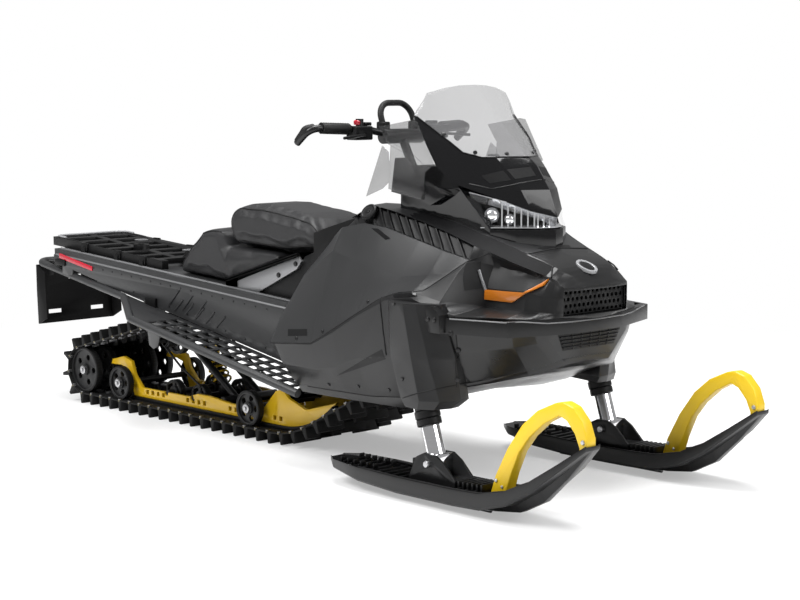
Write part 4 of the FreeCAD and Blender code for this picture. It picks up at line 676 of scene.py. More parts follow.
class Batch:
    """Corner and face lists that grow from simple forms and become one piece. Points are in metres."""

    def __init__(self) -> None:
        """Start empty."""
        self.vertices: list[Vector] = []
        self.faces: list[tuple[int, ...]] = []

    def add(self, vertices: Iterable, faces: Iterable[Sequence[int]]) -> "Batch":
        """Add corners, and faces that number them from 0.

        Args:
            vertices: The corners.
            faces: Corner numbers of each face.

        Returns:
            The batch.
        """
        first = len(self.vertices)
        self.vertices.extend(Vector(v) for v in vertices)
        self.faces.extend(tuple(first + n for n in face) for face in faces)
        return self

    def join(self, other: "Batch") -> "Batch":
        """Add all forms of another batch."""
        return self.add(other.vertices, other.faces)

    def loft(self, rings: Sequence[Sequence[Vector]], closed: bool = False) -> "Batch":
        """Add a skin through rings of as many corners each.

        Args:
            rings: The rings in order.
            closed: Whether the last ring joins the first; the ends are capped where not.

        Returns:
            The batch.
        """
        size, count = len(rings[0]), len(rings)
        faces = []
        for ring in range(count if closed else count - 1):
            low, high = ring * size, (ring + 1) % count * size
            faces += [(low + n, low + (n + 1) % size, high + (n + 1) % size, high + n) for n in range(size)]
        if not closed:
            faces += [tuple(reversed(range(size))), tuple(range((count - 1) * size, count * size))]
        return self.add([corner for ring in rings for corner in ring], faces)

    def tube(self, points: Sequence[Vector], radius: float, sides: int = 8, closed: bool = False,
             flat: float = 1.0) -> "Batch":
        """Add a round or flattened bar along points.

        Args:
            points: Middle line.
            radius: Radius of the bar.
            sides: Facets round the bar.
            closed: Whether the line closes on itself.
            flat: Height of the section as a share of its width.

        Returns:
            The batch.
        """
        points = [point for n, point in enumerate(points) if not n or (point - points[n - 1]).length > NEAR]
        count, radius = len(points), radius * MM
        rings, across = [], None
        for n, point in enumerate(points):
            before = points[n - 1] if n or closed else point
            after = points[(n + 1) % count] if n + 1 < count or closed else point
            way = (after - before).normalized()
            if across is None:
                across = way.orthogonal() if abs(way.y) > 0.9 else way.cross(LEFTWARD)
            across = (across - way * across.dot(way)).normalized()
            up = way.cross(across)
            rings.append([point + (across * math.cos(TURN * k / sides) * flat + up * math.sin(TURN * k / sides))
                          * radius for k in range(sides)])
        return self.loft(rings, closed)

    def turned(self, profile: Pairs, base: Vector, way: Vector = UP, sides: int = 24) -> "Batch":
        """Add a turned form from (radius, height) pairs along an axis.

        Args:
            profile: The pairs.
            base: Foot of the axis.
            way: Direction of the axis.
            sides: Facets round it.

        Returns:
            The batch.
        """
        turn = aligned(way)
        angles = [TURN * k / sides for k in range(sides)]
        return self.loft([[base + turn @ Vector((r * MM * math.cos(a), r * MM * math.sin(a), h * MM))
                           for a in angles] for r, h in profile])

    def block(self, centre: Vector, size: Sequence[float], turn: Optional[Matrix] = None) -> "Batch":
        """Add a box of a size, turned about its centre.

        Args:
            centre: Its centre.
            size: Its three lengths.
            turn: Its turn, if any.

        Returns:
            The batch.
        """
        turn = turn or Matrix.Identity(3)
        half = Vector([length * MM for length in size]) / 2
        ring = [(-1, -1), (1, -1), (1, 1), (-1, 1)]
        return self.loft([[centre + turn @ Vector((a * half.x, b * half.y, c * half.z)) for a, b in ring]
                          for c in (-1, 1)])

    def mirror(self) -> "Batch":
        """Add the mirror image of all forms so far."""
        vertices = [Vector((v.x, -v.y, v.z)) for v in self.vertices]
        return self.add(vertices, [tuple(reversed(face)) for face in self.faces[:]])

    def piece(self, name: str, finish: Finish, body: str = ROOT, width: float = 0.0, segments: int = 2,
              angle: float = 30.0) -> bpy.types.Object:
        """Make one dressed piece of the forms.

        Args:
            name: Name of the piece.
            finish: The finish it wears.
            body: The body it rides.
            width: Width of the rounding on its edges; none where 0.
            segments: Facets across the rounding.
            angle: Angle in degrees above which an edge is rounded or stays crisp.

        Returns:
            The piece.
        """
        piece = mesh_from(name, self.vertices, self.faces)
        if width:
            bevel(piece, width, segments, angle)
        else:
            smooth(piece, angle)
        return dress(piece, finish, body)


@dataclass(frozen=True)
class Spot:
    """Place, turn and size of one copy of a repeated form."""

    place: Vector
    turn: Matrix = field(default_factory=lambda: Matrix.Identity(3))
    size: float = 1.0


def both(x: float, y: float, z: float, size: float = 1.0, middle: float = 0.0) -> list[Spot]:
    """Spots at a distance to the right and left of a middle plane, facing away from it."""
    return [Spot(mm(x, middle + sign * y, z), aligned(Vector((0, sign, 0))), size) for sign in (-1, 1)]


def repeat_group() -> bpy.types.NodeTree:
    """Geometry node group that sets a stamp on every point, built at its first use.

    Returns:
        The group.
    """
    group = bpy.data.node_groups.get("repeat_stamp")
    if group:
        return group
    group = bpy.data.node_groups.new("repeat_stamp", "GeometryNodeTree")
    for label, kind in (("Geometry", "NodeSocketGeometry"), ("Stamp", "NodeSocketObject"),
                        ("Finish", "NodeSocketMaterial")):
        group.interface.new_socket(label, in_out="INPUT", socket_type=kind)
    group.interface.new_socket("Geometry", in_out="OUTPUT", socket_type="NodeSocketGeometry")
    nodes, links = group.nodes, group.links
    start, end = nodes.new("NodeGroupInput"), nodes.new("NodeGroupOutput")
    stamp, place = nodes.new("GeometryNodeObjectInfo"), nodes.new("GeometryNodeInstanceOnPoints")
    solid, paint = nodes.new("GeometryNodeRealizeInstances"), nodes.new("GeometryNodeSetMaterial")
    links.new(start.outputs["Stamp"], stamp.inputs["Object"])
    links.new(start.outputs["Geometry"], place.inputs["Points"])
    links.new(stamp.outputs["Geometry"], place.inputs["Instance"])
    for label, kind, target in (("turn", "FLOAT_VECTOR", "Rotation"), ("size", "FLOAT", "Scale")):
        attribute = nodes.new("GeometryNodeInputNamedAttribute")
        attribute.data_type = kind
        attribute.inputs["Name"].default_value = label
        links.new(attribute.outputs["Attribute"], place.inputs[target])
    links.new(place.outputs["Instances"], solid.inputs["Geometry"])
    links.new(solid.outputs["Geometry"], paint.inputs["Geometry"])
    links.new(start.outputs["Finish"], paint.inputs["Material"])
    links.new(paint.outputs["Geometry"], end.inputs["Geometry"])
    return group


def repeat(name: str, stamp: Batch, spots: Sequence[Spot], finish: Finish, body: str = ROOT) -> None:
    """Repeat a form at many places with geometry nodes, as one piece.

    Args:
        name: Name of the piece.
        stamp: The form, about the origin.
        spots: Where its copies go.
        finish: The finish of the piece.
        body: The body it rides.
    """
    source = mesh_from(name + "_stamp", stamp.vertices, stamp.faces)
    smooth(source, 30.0)
    mesh = bpy.data.meshes.new(name)
    mesh.from_pydata([tuple(spot.place) for spot in spots], [], [])
    mesh.attributes.new("turn", "FLOAT_VECTOR", "POINT")
    mesh.attributes.new("size", "FLOAT", "POINT")
    for number, spot in enumerate(spots):
        mesh.attributes["turn"].data[number].vector = spot.turn.to_euler()
        mesh.attributes["size"].data[number].value = spot.size
    piece = new_object(name, mesh)
    modifier = piece.modifiers.new("repeat", "NODES")
    modifier.node_group = repeat_group()
    wanted = {"Stamp": source, "Finish": finish.material()}
    for item in modifier.node_group.interface.items_tree:
        if item.item_type == "SOCKET" and item.in_out == "INPUT" and item.name in wanted:
            modifier[item.identifier] = wanted[item.name]
    apply_modifiers(piece)
    bpy.data.objects.remove(source)
    dress(piece, finish, body)


class Skin:
    """Ray casting on surfaces, to lay small pieces on them. It takes millimetres and gives metres."""

    def __init__(self, *sources: Union[str, bpy.types.Object]) -> None:
        """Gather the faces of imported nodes, given by name, or of finished pieces.

        Args:
            sources: The names or pieces.
        """
        vertices, faces = [], []
        for source in sources:
            mesh = (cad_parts[source] if isinstance(source, str) else source).data
            first = len(vertices)
            vertices += [v.co.copy() for v in mesh.vertices]
            faces += [tuple(first + n for n in face.vertices) for face in mesh.polygons]
        self.tree = BVHTree.FromPolygons(vertices, faces)
        self.normal = UP.copy()

    def nearest(self, point: Vector, lift: float = 0.0) -> Vector:
        """Point of the surface nearest to a point in metres, lifted off it."""
        place, self.normal, _, _ = self.tree.find_nearest(point)
        return place + self.normal * lift * MM

    def _cast(self, origin: Vector, way: Vector, lift: float) -> Vector:
        """Point where a ray meets the surface, lifted off it.

        Args:
            origin: Start of the ray.
            way: Its direction.
            lift: Height over the surface.

        Returns:
            The point.
        """
        place, normal, _, _ = self.tree.ray_cast(origin, way)
        if place is None:
            place, normal, _, _ = self.tree.find_nearest(origin)
        self.normal = -normal if normal.dot(way) > 0 else normal
        return place + self.normal * lift * MM

    def side(self, x: float, z: float, lift: float = 0.0) -> Vector:
        """Point on the right side."""
        return self._cast(mm(x, -900, z), LEFTWARD, lift)

    def top(self, x: float, y: float, lift: float = 0.0) -> Vector:
        """Point on the top."""
        return self._cast(mm(x, y, 1500), -UP, lift)

    def front(self, y: float, z: float, lift: float = 0.0) -> Vector:
        """Point on the front."""
        return self._cast(mm(1700, y, z), Vector((-1, 0, 0)), lift)

    @staticmethod
    def line(points: Pairs, how: Callable, lift: float = 0.0, step: float = 12.0) -> list[Vector]:
        """Points along a broken line of (x, z) or like pairs, dropped on the surface at short steps.

        Args:
            points: Corners of the line.
            how: Ray function of a Skin.
            lift: Height over the surface.
            step: Longest step.

        Returns:
            The points.
        """
        found = []
        for (a, b), (c, d) in zip(points, points[1:]):
            count = max(int(math.dist((a, b), (c, d)) / step), 1)
            found += [how(a + (c - a) * n / count, b + (d - b) * n / count, lift) for n in range(count)]
        return found + [how(*points[-1], lift)]


def screw(radius: float) -> Batch:
    """Pan head screw with a six-sided socket.

    Args:
        radius: Radius of its head.

    Returns:
        The screw, about the origin.
    """
    head = Batch().turned([(radius, 0.0), (radius, radius * 0.25), (radius * 0.82, radius * 0.5),
                           (radius * 0.5, radius * 0.55)], Vector(), sides=16)
    return head.turned([(radius * 0.46, radius * 0.5), (radius * 0.42, radius * 0.56)], Vector(), sides=6)


def rounded(points: Sequence[Vector], rounds: int = 2) -> list[Vector]:
    """Points with their inner corners cut, more softly each round.

    Args:
        points: The points.
        rounds: How often corners are cut.

    Returns:
        The new points.
    """
    for _ in range(rounds):
        cut = [a.lerp(b, share) for a, b in zip(points, points[1:]) for share in (0.25, 0.75)]
        points = [points[0]] + cut[1:-1] + [points[-1]]
    return list(points)


def draped(outlines: Sequence[Pairs], how: Callable, lift: float = 0.6, depth: float = 3.0) -> Batch:
    """Thin plates that follow a surface, one inside each outline.

    Args:
        outlines: Corner pairs of each plate, as the ray function takes them.
        how: Ray function of a Skin.
        lift: Height of a plate's face over the surface.
        depth: Thickness of a plate.

    Returns:
        The plates.
    """
    batch = Batch()
    for outline in outlines:
        work = bmesh.new()
        work.faces.new([work.verts.new((a, b, 0.0)) for a, b in outline])
        bmesh.ops.triangulate(work, faces=work.faces[:])
        for _ in range(5):
            long = [edge for edge in work.edges if edge.calc_length() > DRAPE_STEP]
            if not long:
                break
            bmesh.ops.subdivide_edges(work, edges=long, cuts=1)
            bmesh.ops.triangulate(work, faces=work.faces[:])
        work.verts.index_update()
        top = [how(v.co.x, v.co.y, lift) for v in work.verts]
        low = [how(v.co.x, v.co.y, lift - depth) for v in work.verts]
        count = len(top)
        faces = [tuple(v.index for v in face.verts) for face in work.faces]
        faces += [tuple(count + n for n in reversed(face)) for face in faces]
        for edge in work.edges:
            if len(edge.link_faces) == 1:
                loop = edge.link_loops[0]
                a, b = loop.vert.index, loop.link_loop_next.vert.index
                faces.append((b, a, count + a, count + b))
        work.free()
        batch.add(top + low, faces)
    return batch


# Sub-assemblies


class Assembly:
    """A sub-assembly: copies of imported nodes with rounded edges, then the pieces that are added."""

    body: str = ROOT
    skins: tuple = ()        # node, finish, width of the rounding, its segments, least angle in degrees

    def build(self) -> None:
        """Build and dress the pieces."""
        for node, finish, width, *more in self.skins:
            rounded_node(node, finish, width, self.body, *more)
        self.details()

    def details(self) -> None:
        """Build the pieces that are added."""
        raise NotImplementedError


@dataclass
class Body(Assembly):
    """Body panels, vents, nose, strut columns and front bumper."""

    skins: tuple = (("hood", CHARCOAL, 2.2, 3, 13.0), ("side_panels", CHARCOAL, 2.2, 3, 13.0),
                    ("lower_panels", LOWER, 2.2, 3, 13.0), ("nose_cover", NOSE, 2.2, 3, 13.0),
                    ("belly_pan", NOSE, 2.2, 3, 13.0), ("side_vents", BLACK, 0.8), ("front_grille", BLACK, 0.8),
                    ("front_bumper", BUMPER, 4.0, 3), ("console", BLACK, 4.0), ("strut_tubes", BLACK, 1.0),
                    ("side_markers", LENS_AMBER, 1.0))
    # (x, z) in side view, (x, y) from above, (x, y, z) in space
    side_joints: tuple = (((252, 413), (378, 427), (537, 511), (700, 599), (788, 627), (879, 639)),
                          ((879, 639), (953, 728), (1008, 754)),
                          ((1011, 572), (1011, 500), (1011, 420), (1011, 352)),
                          ((300, 268), (600, 271), (740, 285), (850, 307), (953, 341), (1010, 359), (1085, 379)))
    top_joint: tuple = ((1098, -2), (1098, -150), (1192, -128))
    side_gap: tuple = ((712, 606), (714, 588), (724, 504), (736, 425))
    nose_gap: tuple = ((1188, -131, 719), (1199, -146, 706), (1208, -158, 690))
    # outlines of dark plates laid on the panels: painted shade where the panels are recessed
    side_recesses: tuple = (((240, 458), (342, 469), (352, 448), (252, 437)),
                            ((479, 327), (600, 386), (716, 442), (732, 412), (640, 382)),
                            ((952, 722), (980, 726), (1002, 646), (976, 640)),
                            ((1010, 744), (1085, 722), (1160, 699), (1204, 684), (1150, 646), (1010, 646)))
    latch: tuple = ((762, 622), (864, 632), (872, 622), (776, 611))
    hood_clip: tuple = ((528, 806), (560, 806), (634, 778), (610, 774))
    lamp_post: tuple = ((984, 700), (998, 668), (1010, 640))
    screws: tuple = ((430, 470), (640, 585), (300, 434), (560, 300), (420, 290), (700, 305), (860, 370), (820, 600))
    hood_slot: tuple = ((1076, -74), (1076, 74), (1092, 66), (1092, -66))
    chin_slot: tuple = ((-150, 516), (150, 516), (122, 462), (-122, 462))
    grille_corners: tuple = ((1239, -152, 648), (1239, 152, 648), (1239, 152, 574), (1239, -152, 574))
    front_bolts: tuple = ((1014, -363, 466), (1013, -364, 376), (1010, -390, 520))
    side_bolts: tuple = ((944, 560), (972, 560))

    def details(self) -> None:
        """Engine, seams, painted shade in the recesses, edge bands with painted highlights, nose and columns."""
        self.skin = Skin("hood", "side_panels", "lower_panels", "nose_cover", "belly_pan", "front_grille")
        paint_node("engine", STEEL_DARK)
        self.seams()
        self.side_details()
        self.edge_bands_and_highlights()
        self.nose()
        self.columns()

    def seams(self) -> None:
        """Dark joints between the panels."""
        line, side = self.skin.line, self.skin.side
        fine, bold = Batch(), Batch()
        for joint in self.side_joints:
            fine.tube(line(joint, side, -0.5), 2.0, 6)
        fine.tube(line(self.top_joint, self.skin.top, -0.5), 2.0, 6)
        bold.tube(line(self.side_gap, side, -0.8), 3.2, 6)
        bold.tube([mm(*point) for point in self.nose_gap], 2.6, 6)
        fine.mirror().piece("panel_joints", BLACK, angle=60)
        bold.mirror().piece("panel_gaps", BLACK, angle=60)

    def side_details(self) -> None:
        """Dark plates of painted shade in the recesses, latches, lamp posts, screws and round caps."""
        side = self.skin.side
        # dark plates on the panels: painted shade in the recesses
        draped(self.side_recesses, side).mirror().piece("side_recesses", BLACK, angle=40)
        plates = draped([self.latch], side, 2.2, 5.0).join(draped([self.hood_clip], side, 1.2, 3.0))
        plates.mirror().piece("latches", GLOSS, width=0.6)
        posts = Batch().tube(self.skin.line(self.lamp_post, side, 3.0), 5.0)
        posts.mirror().piece("lamp_posts", BRACE_SILVER, angle=50)
        spots = [Spot(side(x, z, 0.2), aligned(self.skin.normal)) for x, z in self.screws]
        spots += [Spot(Vector((s.place.x, -s.place.y, s.place.z)), aligned(LEFTWARD)) for s in spots]
        repeat("panel_screws", screw(6.5), spots, STEEL_DARK)
        cap = Batch().turned([(30, 0), (30, 9), (25, 13), (21, 10), (7, 10), (6, 13)], mm(494, -243, 852),
                             Vector((0.05, -0.8, 0.6)), 32)
        cap.mirror().piece("hood_caps", BLACK, width=0.5)

    def edge_bands_and_highlights(self) -> None:
        """Black band along each edge of the hood, and light lines of painted highlight along the bumper's upper edge.
        """
        band = cut_out("hood", "hood_bands", lambda at, way: abs(way.y) > 0.28 and way.z > 0.5 and abs(at.y) > 120,
                       0.6)
        smooth(band, 25)
        dress(band, BAND)
        # the bumper's light lines are a painted highlight along its upper edge
        bar, height, front_x, front_top = Skin("front_bumper"), 545, 1212 * MM, 554 * MM
        line = [bar.front(-y, height) for y in range(0, 225, 25)]
        line += [bar.side(x, height) for x in range(1205, 1000, -20)]
        tops = []
        for point in line:
            inner = point / MM + Vector((-5, 6, 0))
            top = bar.top(inner.x, inner.y).z - 1.5 * MM
            tops.append(Vector((point.x, point.y, min(top, front_top) if point.x > front_x else top)))
        Batch().tube(tops, 2.2).mirror().piece("bumper_lines", PAINTED_HIGHLIGHT_GREY, angle=50)

    def nose(self) -> None:
        """Plain disc, painted shade in the air slot and the chin intake, the intake's bars and the grille's frame."""
        skin = self.skin
        # dark plates in the air slot and the chin intake: painted shade
        slot_shades = draped([self.hood_slot], skin.top).join(draped([self.chin_slot], skin.front))
        slot_shades.piece("nose_recesses", BLACK, angle=40)
        bars = Batch()
        for z in (472, 483, 494, 505):
            half = 118 + (z - 462) * 0.5
            bars.tube(skin.line([(-half, z), (half, z)], skin.front, 2.5), 2.2)
        for y in (-80, -40, 0, 40, 80):
            bars.tube(skin.line([(y, 464), (y * 1.1, 514)], skin.front, 1.5), 1.8)
        bars.piece("chin_bars", BUMPER, angle=50)
        middle = skin.top(1214, 0, -0.5)
        way = (skin.normal + Vector((0, 0, 0.1))).normalized()
        for name, finish, profile in (
                ("nose_ring", TRIM_AND_HIGHLIGHT, [(36, -6), (36, 1.5), (34.5, 3), (28.5, 3), (26, 1.5), (26, -6)]),
                ("nose_disc", BLACK, [(26, -6), (26, 0.6), (24, 1.2)])):
            Batch().turned(profile, middle, way, 40).piece(name, finish, angle=25)
        corners = [mm(*corner) for corner in self.grille_corners]
        Batch().tube(corners, 2.6, closed=True).piece("grille_frame", GLOSS, angle=50)

    def columns(self) -> None:
        """Bolts and clamps on the strut columns."""
        spots = []
        for x, y, z in self.front_bolts:
            spots += [Spot(mm(x, y * sign, z), aligned(Vector((0.62, -0.78 * sign, 0.0)))) for sign in (1, -1)]
        for x, z in self.side_bolts:
            spots += both(x, 424, z)
        repeat("column_bolts", screw(8), spots, STEEL_DARK)
        collars = Batch()
        for sign in (-1, 1):
            low, high = mm(941.5, sign * 410, 231), mm(926, sign * 410, 278)
            collars.turned([(36, 0), (39, 3), (39, 20), (36.5, 22), (40, 25), (40, 46), (36.5, 50)], low,
                           (high - low).normalized(), 40)
        collars.piece("strut_collars", BLACK, angle=35)


@dataclass
class Cowl(Assembly):
    """Cowl, headlamps, windshield and deflectors."""

    skins: tuple = (("gauge_pod", GLOSS, 2.5, 3, 14.0), ("windshield", SCREEN, 1.2, 2, 50),
                    ("wind_deflectors", DEFLECTOR, 1.0, 2, 50), ("headlamps", LENS_CLEAR, 1.0, 2, 20))
    # a lens from above, (x, distance from the middle)
    plan: tuple = ((1086, 2), (1060, 60), (978, 137), (913, 187))
    # (distance from the middle, z), and (y, z), seen from the front
    seal: tuple = ((2, 1042), (130, 1042), (168, 1056), (200, 1108), (228, 1168))
    bolts: tuple = ((60, 1052), (140, 1056), (192, 1112))
    ducts: tuple = (((-20, 1012), (-92, 1004), (-84, 975), (-18, 985)),
                    ((-100, 1002), (-150, 985), (-140, 962), (-94, 972)))
    visor_edge: tuple = ((-8, 972), (-80, 962), (-140, 945), (-186, 960))

    def details(self) -> None:
        """Lamp insides and trim."""
        self.lamps()
        self.trim()

    def along(self, share: float, z: float, inward: float) -> tuple[Vector, Vector]:
        """Place inside a lamp at a share of its width, and the way out of it there.

        Args:
            share: 0 at the nose's middle, 1 at the lamp's outer end.
            z: Height.
            inward: Distance behind the lens.

        Returns:
            The place and the unit vector that points out through the lens, on the right side.
        """
        lean = (z - 880) / 125 * 24
        corners = [(x - lean * (0.2 + n * 0.5), y + lean * 0.25 * n) for n, (x, y) in enumerate(self.plan)]
        lengths = [math.dist(a, b) for a, b in zip(corners, corners[1:])]
        rest = share * sum(lengths)
        for (ax, ay), (bx, by), length in zip(corners, corners[1:], lengths):
            if rest <= length + 0.001:
                break
            rest -= length
        x, y = ax + (bx - ax) * rest / length, ay + (by - ay) * rest / length
        out = Vector((by - ay, ax - bx, 0)).normalized()
        out = Vector((abs(out.x), -abs(out.y), 0))
        return mm(x, -y, z) - out * inward * MM, out

    def strip(self, low: Callable[[float], float], high: Callable[[float], float], front: float, back: float,
              step: Vector) -> Batch:
        """Thin strip across a lamp.

        Args:
            low: Height of its first edge at a share of the lamp's width.
            high: Height of its second edge.
            front: Distance of its first edge behind the lens.
            back: Distance of its second edge behind the lens.
            step: Its thickness as a vector in metres.

        Returns:
            The strip.
        """
        shares = [n / 14 for n in range(15)]
        edges = [(self.along(s, low(s), front)[0], self.along(s, high(s), back)[0]) for s in shares]
        return Batch().loft([[a, b, b + step, a + step] for a, b in edges])

    def lamps(self) -> None:
        """Reflectors, projectors and ribs behind each lens."""
        light, ribs, eyes, down = Batch(), Batch(), Batch(), Vector((0, 0, -0.002))
        back = self.strip(lambda s: 822, lambda s: self.top(s) - 6, 40, 40, Vector((-0.003, 0.002, 0)))
        light.join(self.strip(lambda s: self.top(s) - 3, lambda s: self.top(s) - 30, 7, 32, down))
        light.join(self.strip(lambda s: 826, lambda s: 832, 4, 36, down))
        for n in range(9):
            share = 0.05 + n * 0.08
            place, out = self.along(share, 0.5 * (826 + self.top(share)) - 6, 24)
            ribs.block(place, (4.5, 8, (self.top(share) - 826) * 0.8),
                       aligned(UP, math.degrees(math.atan2(out.y, out.x)) + 90))
        for share, z, size in ((0.82, 862, 24), (0.6, 850, 17)):
            place, out = self.along(share, z, 34)
            eyes.turned([(size, 0), (size, 12), (size * 0.92, 15)], place, out, 32)
            ball = [(size * 0.8 * math.cos(a * math.pi / 16), 12 + size * 0.5 * math.sin(a * math.pi / 16))
                    for a in range(8)]
            light.turned([(size * 0.8, 2)] + ball, place, out, 32)
        for name, batch, finish, angle in (("lamp_backs", back, GLOSS, 40), ("lamp_reflectors", light, MIRROR, 40),
                                           ("lamp_ribs", ribs, MIRROR, 30), ("lamp_bezels", eyes, BRACE_SILVER, 30)):
            batch.mirror().piece(name, finish, angle=angle)

    @staticmethod
    def top(share: float) -> float:
        """Height of a lamp's top edge at a share of its width."""
        return 866 + 72 * share

    def trim(self) -> None:
        """The screen's lower seal and bolts, painted shade in the visor's ducts, and the visor's lower line."""
        skin = Skin("windshield", "gauge_pod")
        line = skin.line(self.seal, lambda y, z, lift: skin.front(-y, z, lift), 0.4)
        Batch().tube(line, 2.2, 6).mirror().piece("screen_seal", GLOSS, angle=50)
        spots = [Spot(skin.front(sign * y, z, 0.3), aligned(skin.normal)) for y, z in self.bolts for sign in (-1, 1)]
        repeat("screen_bolts", screw(7), spots, STEEL_DARK)
        # dark plates in the visor's ducts: painted shade
        draped(self.ducts, skin.front, 0.8).mirror().piece("visor_ducts", BLACK, angle=40)
        edge = skin.line(self.visor_edge, skin.front, 0.6)
        Batch().tube(edge, 2.0, 6).mirror().piece("visor_lines", BUMPER, angle=60)


class Cushion:
    """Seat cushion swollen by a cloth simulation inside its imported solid."""

    voxel = 7.0
    pressure = 4.0
    frames = 14

    def __init__(self, node: str, name: str, width: float, cap: float) -> None:
        """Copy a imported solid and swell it.

        Args:
            node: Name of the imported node.
            name: Name of the piece.
            width: Rounding of its edges.
            cap: How far any point may swell.
        """
        corners = [v.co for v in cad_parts[node].data.vertices]
        low, high = (Vector(pick(c[n] for c in corners) for n in range(3)) for pick in (min, max))
        piece = cad_copy(node, name)
        bevel(piece, width, 4)
        cap *= MM
        normals = [v.normal.copy() for v in piece.data.vertices]
        for vertex, normal in zip(piece.data.vertices, normals):
            vertex.co -= normal * (cap * 0.8)
        remesh = piece.modifiers.new("voxels", "REMESH")
        remesh.mode = "VOXEL"
        remesh.voxel_size = self.voxel * MM
        apply_modifiers(piece)
        self.swell(piece, cap)
        relax = piece.modifiers.new("relax", "SMOOTH")
        relax.factor, relax.iterations = 0.5, 8
        apply_modifiers(piece)
        soft = piece.modifiers.new("soft", "SUBSURF")
        soft.levels = soft.render_levels = 1
        apply_modifiers(piece)
        for vertex in piece.data.vertices:
            for n in range(3):
                vertex.co[n] = min(max(vertex.co[n], low[n]), high[n])
        piece.data.materials.clear()
        edit(piece, lambda work: [setattr(face, "smooth", True) for face in work.faces])
        self.piece = dress(piece, SEAT_VINYL)
        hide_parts(node)

    def swell(self, piece: bpy.types.Object, cap: float) -> None:
        """Run the cloth simulation, and keep each corner within a distance in metres of its start.

        Args:
            piece: The cushion.
            cap: The distance.
        """
        start = [v.co.copy() for v in piece.data.vertices]
        cloth = piece.modifiers.new("cloth", "CLOTH")
        cloth.settings.use_pressure = True
        cloth.settings.uniform_pressure_force = self.pressure
        cloth.settings.effector_weights.gravity = 0.0
        cloth.settings.quality = 5
        cloth.point_cache.frame_start, cloth.point_cache.frame_end = 1, self.frames
        for number in range(1, self.frames + 1):
            bpy.context.scene.frame_set(number)
        apply_modifiers(piece)
        bpy.context.scene.frame_set(1)
        for vertex, first in zip(piece.data.vertices, start):
            step = vertex.co - first
            if step.length > cap:
                vertex.co = first + step.normalized() * cap


@dataclass
class Seat(Assembly):
    """Two-level seat with welts and its silver braces."""

    # (x, z) lines of the welts
    upper_welt: tuple = ((-368, 742), (-368, 780), (-348, 810), (-308, 831), (-180, 835), (12, 811), (94, 790),
                         (124, 760))
    under_welt: tuple = ((-362, 720), (-330, 700), (-61, 690), (120, 706))
    lower_welt: tuple = ((-640, 590), (-632, 604), (-573, 670), (-498, 728), (-440, 740), (-385, 738))

    def build(self) -> None:
        """Build and dress the pieces."""
        lower = Cushion("seat_lower", "seat_lower_cover", 24, 8)
        upper = Cushion("seat_upper", "seat_upper_cover", 30, 9)
        rounded_node("seat_braces", BRACE_SILVER, 2.0)
        self.bars()
        self.welts(upper, 150, self.upper_welt, "upper")
        self.bars()        # once more at the same place, which makes a second set of the same bars
        self.welts(upper, 150, self.under_welt, "under")
        self.welts(lower, 170, self.lower_welt, "lower")
        bolts = [spot for x, z in ((-318, 548), (-40, 604), (52, 650)) for spot in both(x, 182.8, z)]
        repeat("brace_bolts", screw(9), bolts, STEEL_DARK)

    @staticmethod
    def bars() -> None:
        """Dark bar with a foot beside each brace."""
        bars = Batch()
        for sign in (-1, 1):
            bars.tube([mm(-326, sign * 185, 566), mm(70, sign * 185, 684)], 8.0, 10)
            bars.block(mm(-300, sign * 184, 560), (60, 8, 30))
        bars.piece("brace_bars", BLACK, angle=50)

    @staticmethod
    def welts(cushion: Cushion, half: float, line: Pairs, word: str) -> None:
        """Piping along both side edges of a cushion, a little inside half its width.

        Args:
            cushion: The cushion.
            half: Half its width.
            line: Line of the piping, (x, z).
            word: End of the piece's name.
        """
        skin, inset = Skin(cushion.piece), 7.5
        path = rounded([mm(x, -(half - inset), z) for x, z in line])
        batch = Batch().tube([skin.nearest(point, 0.6) for point in path], 2.6)
        batch.mirror().piece("seat_welts_" + word, WELT, angle=60)


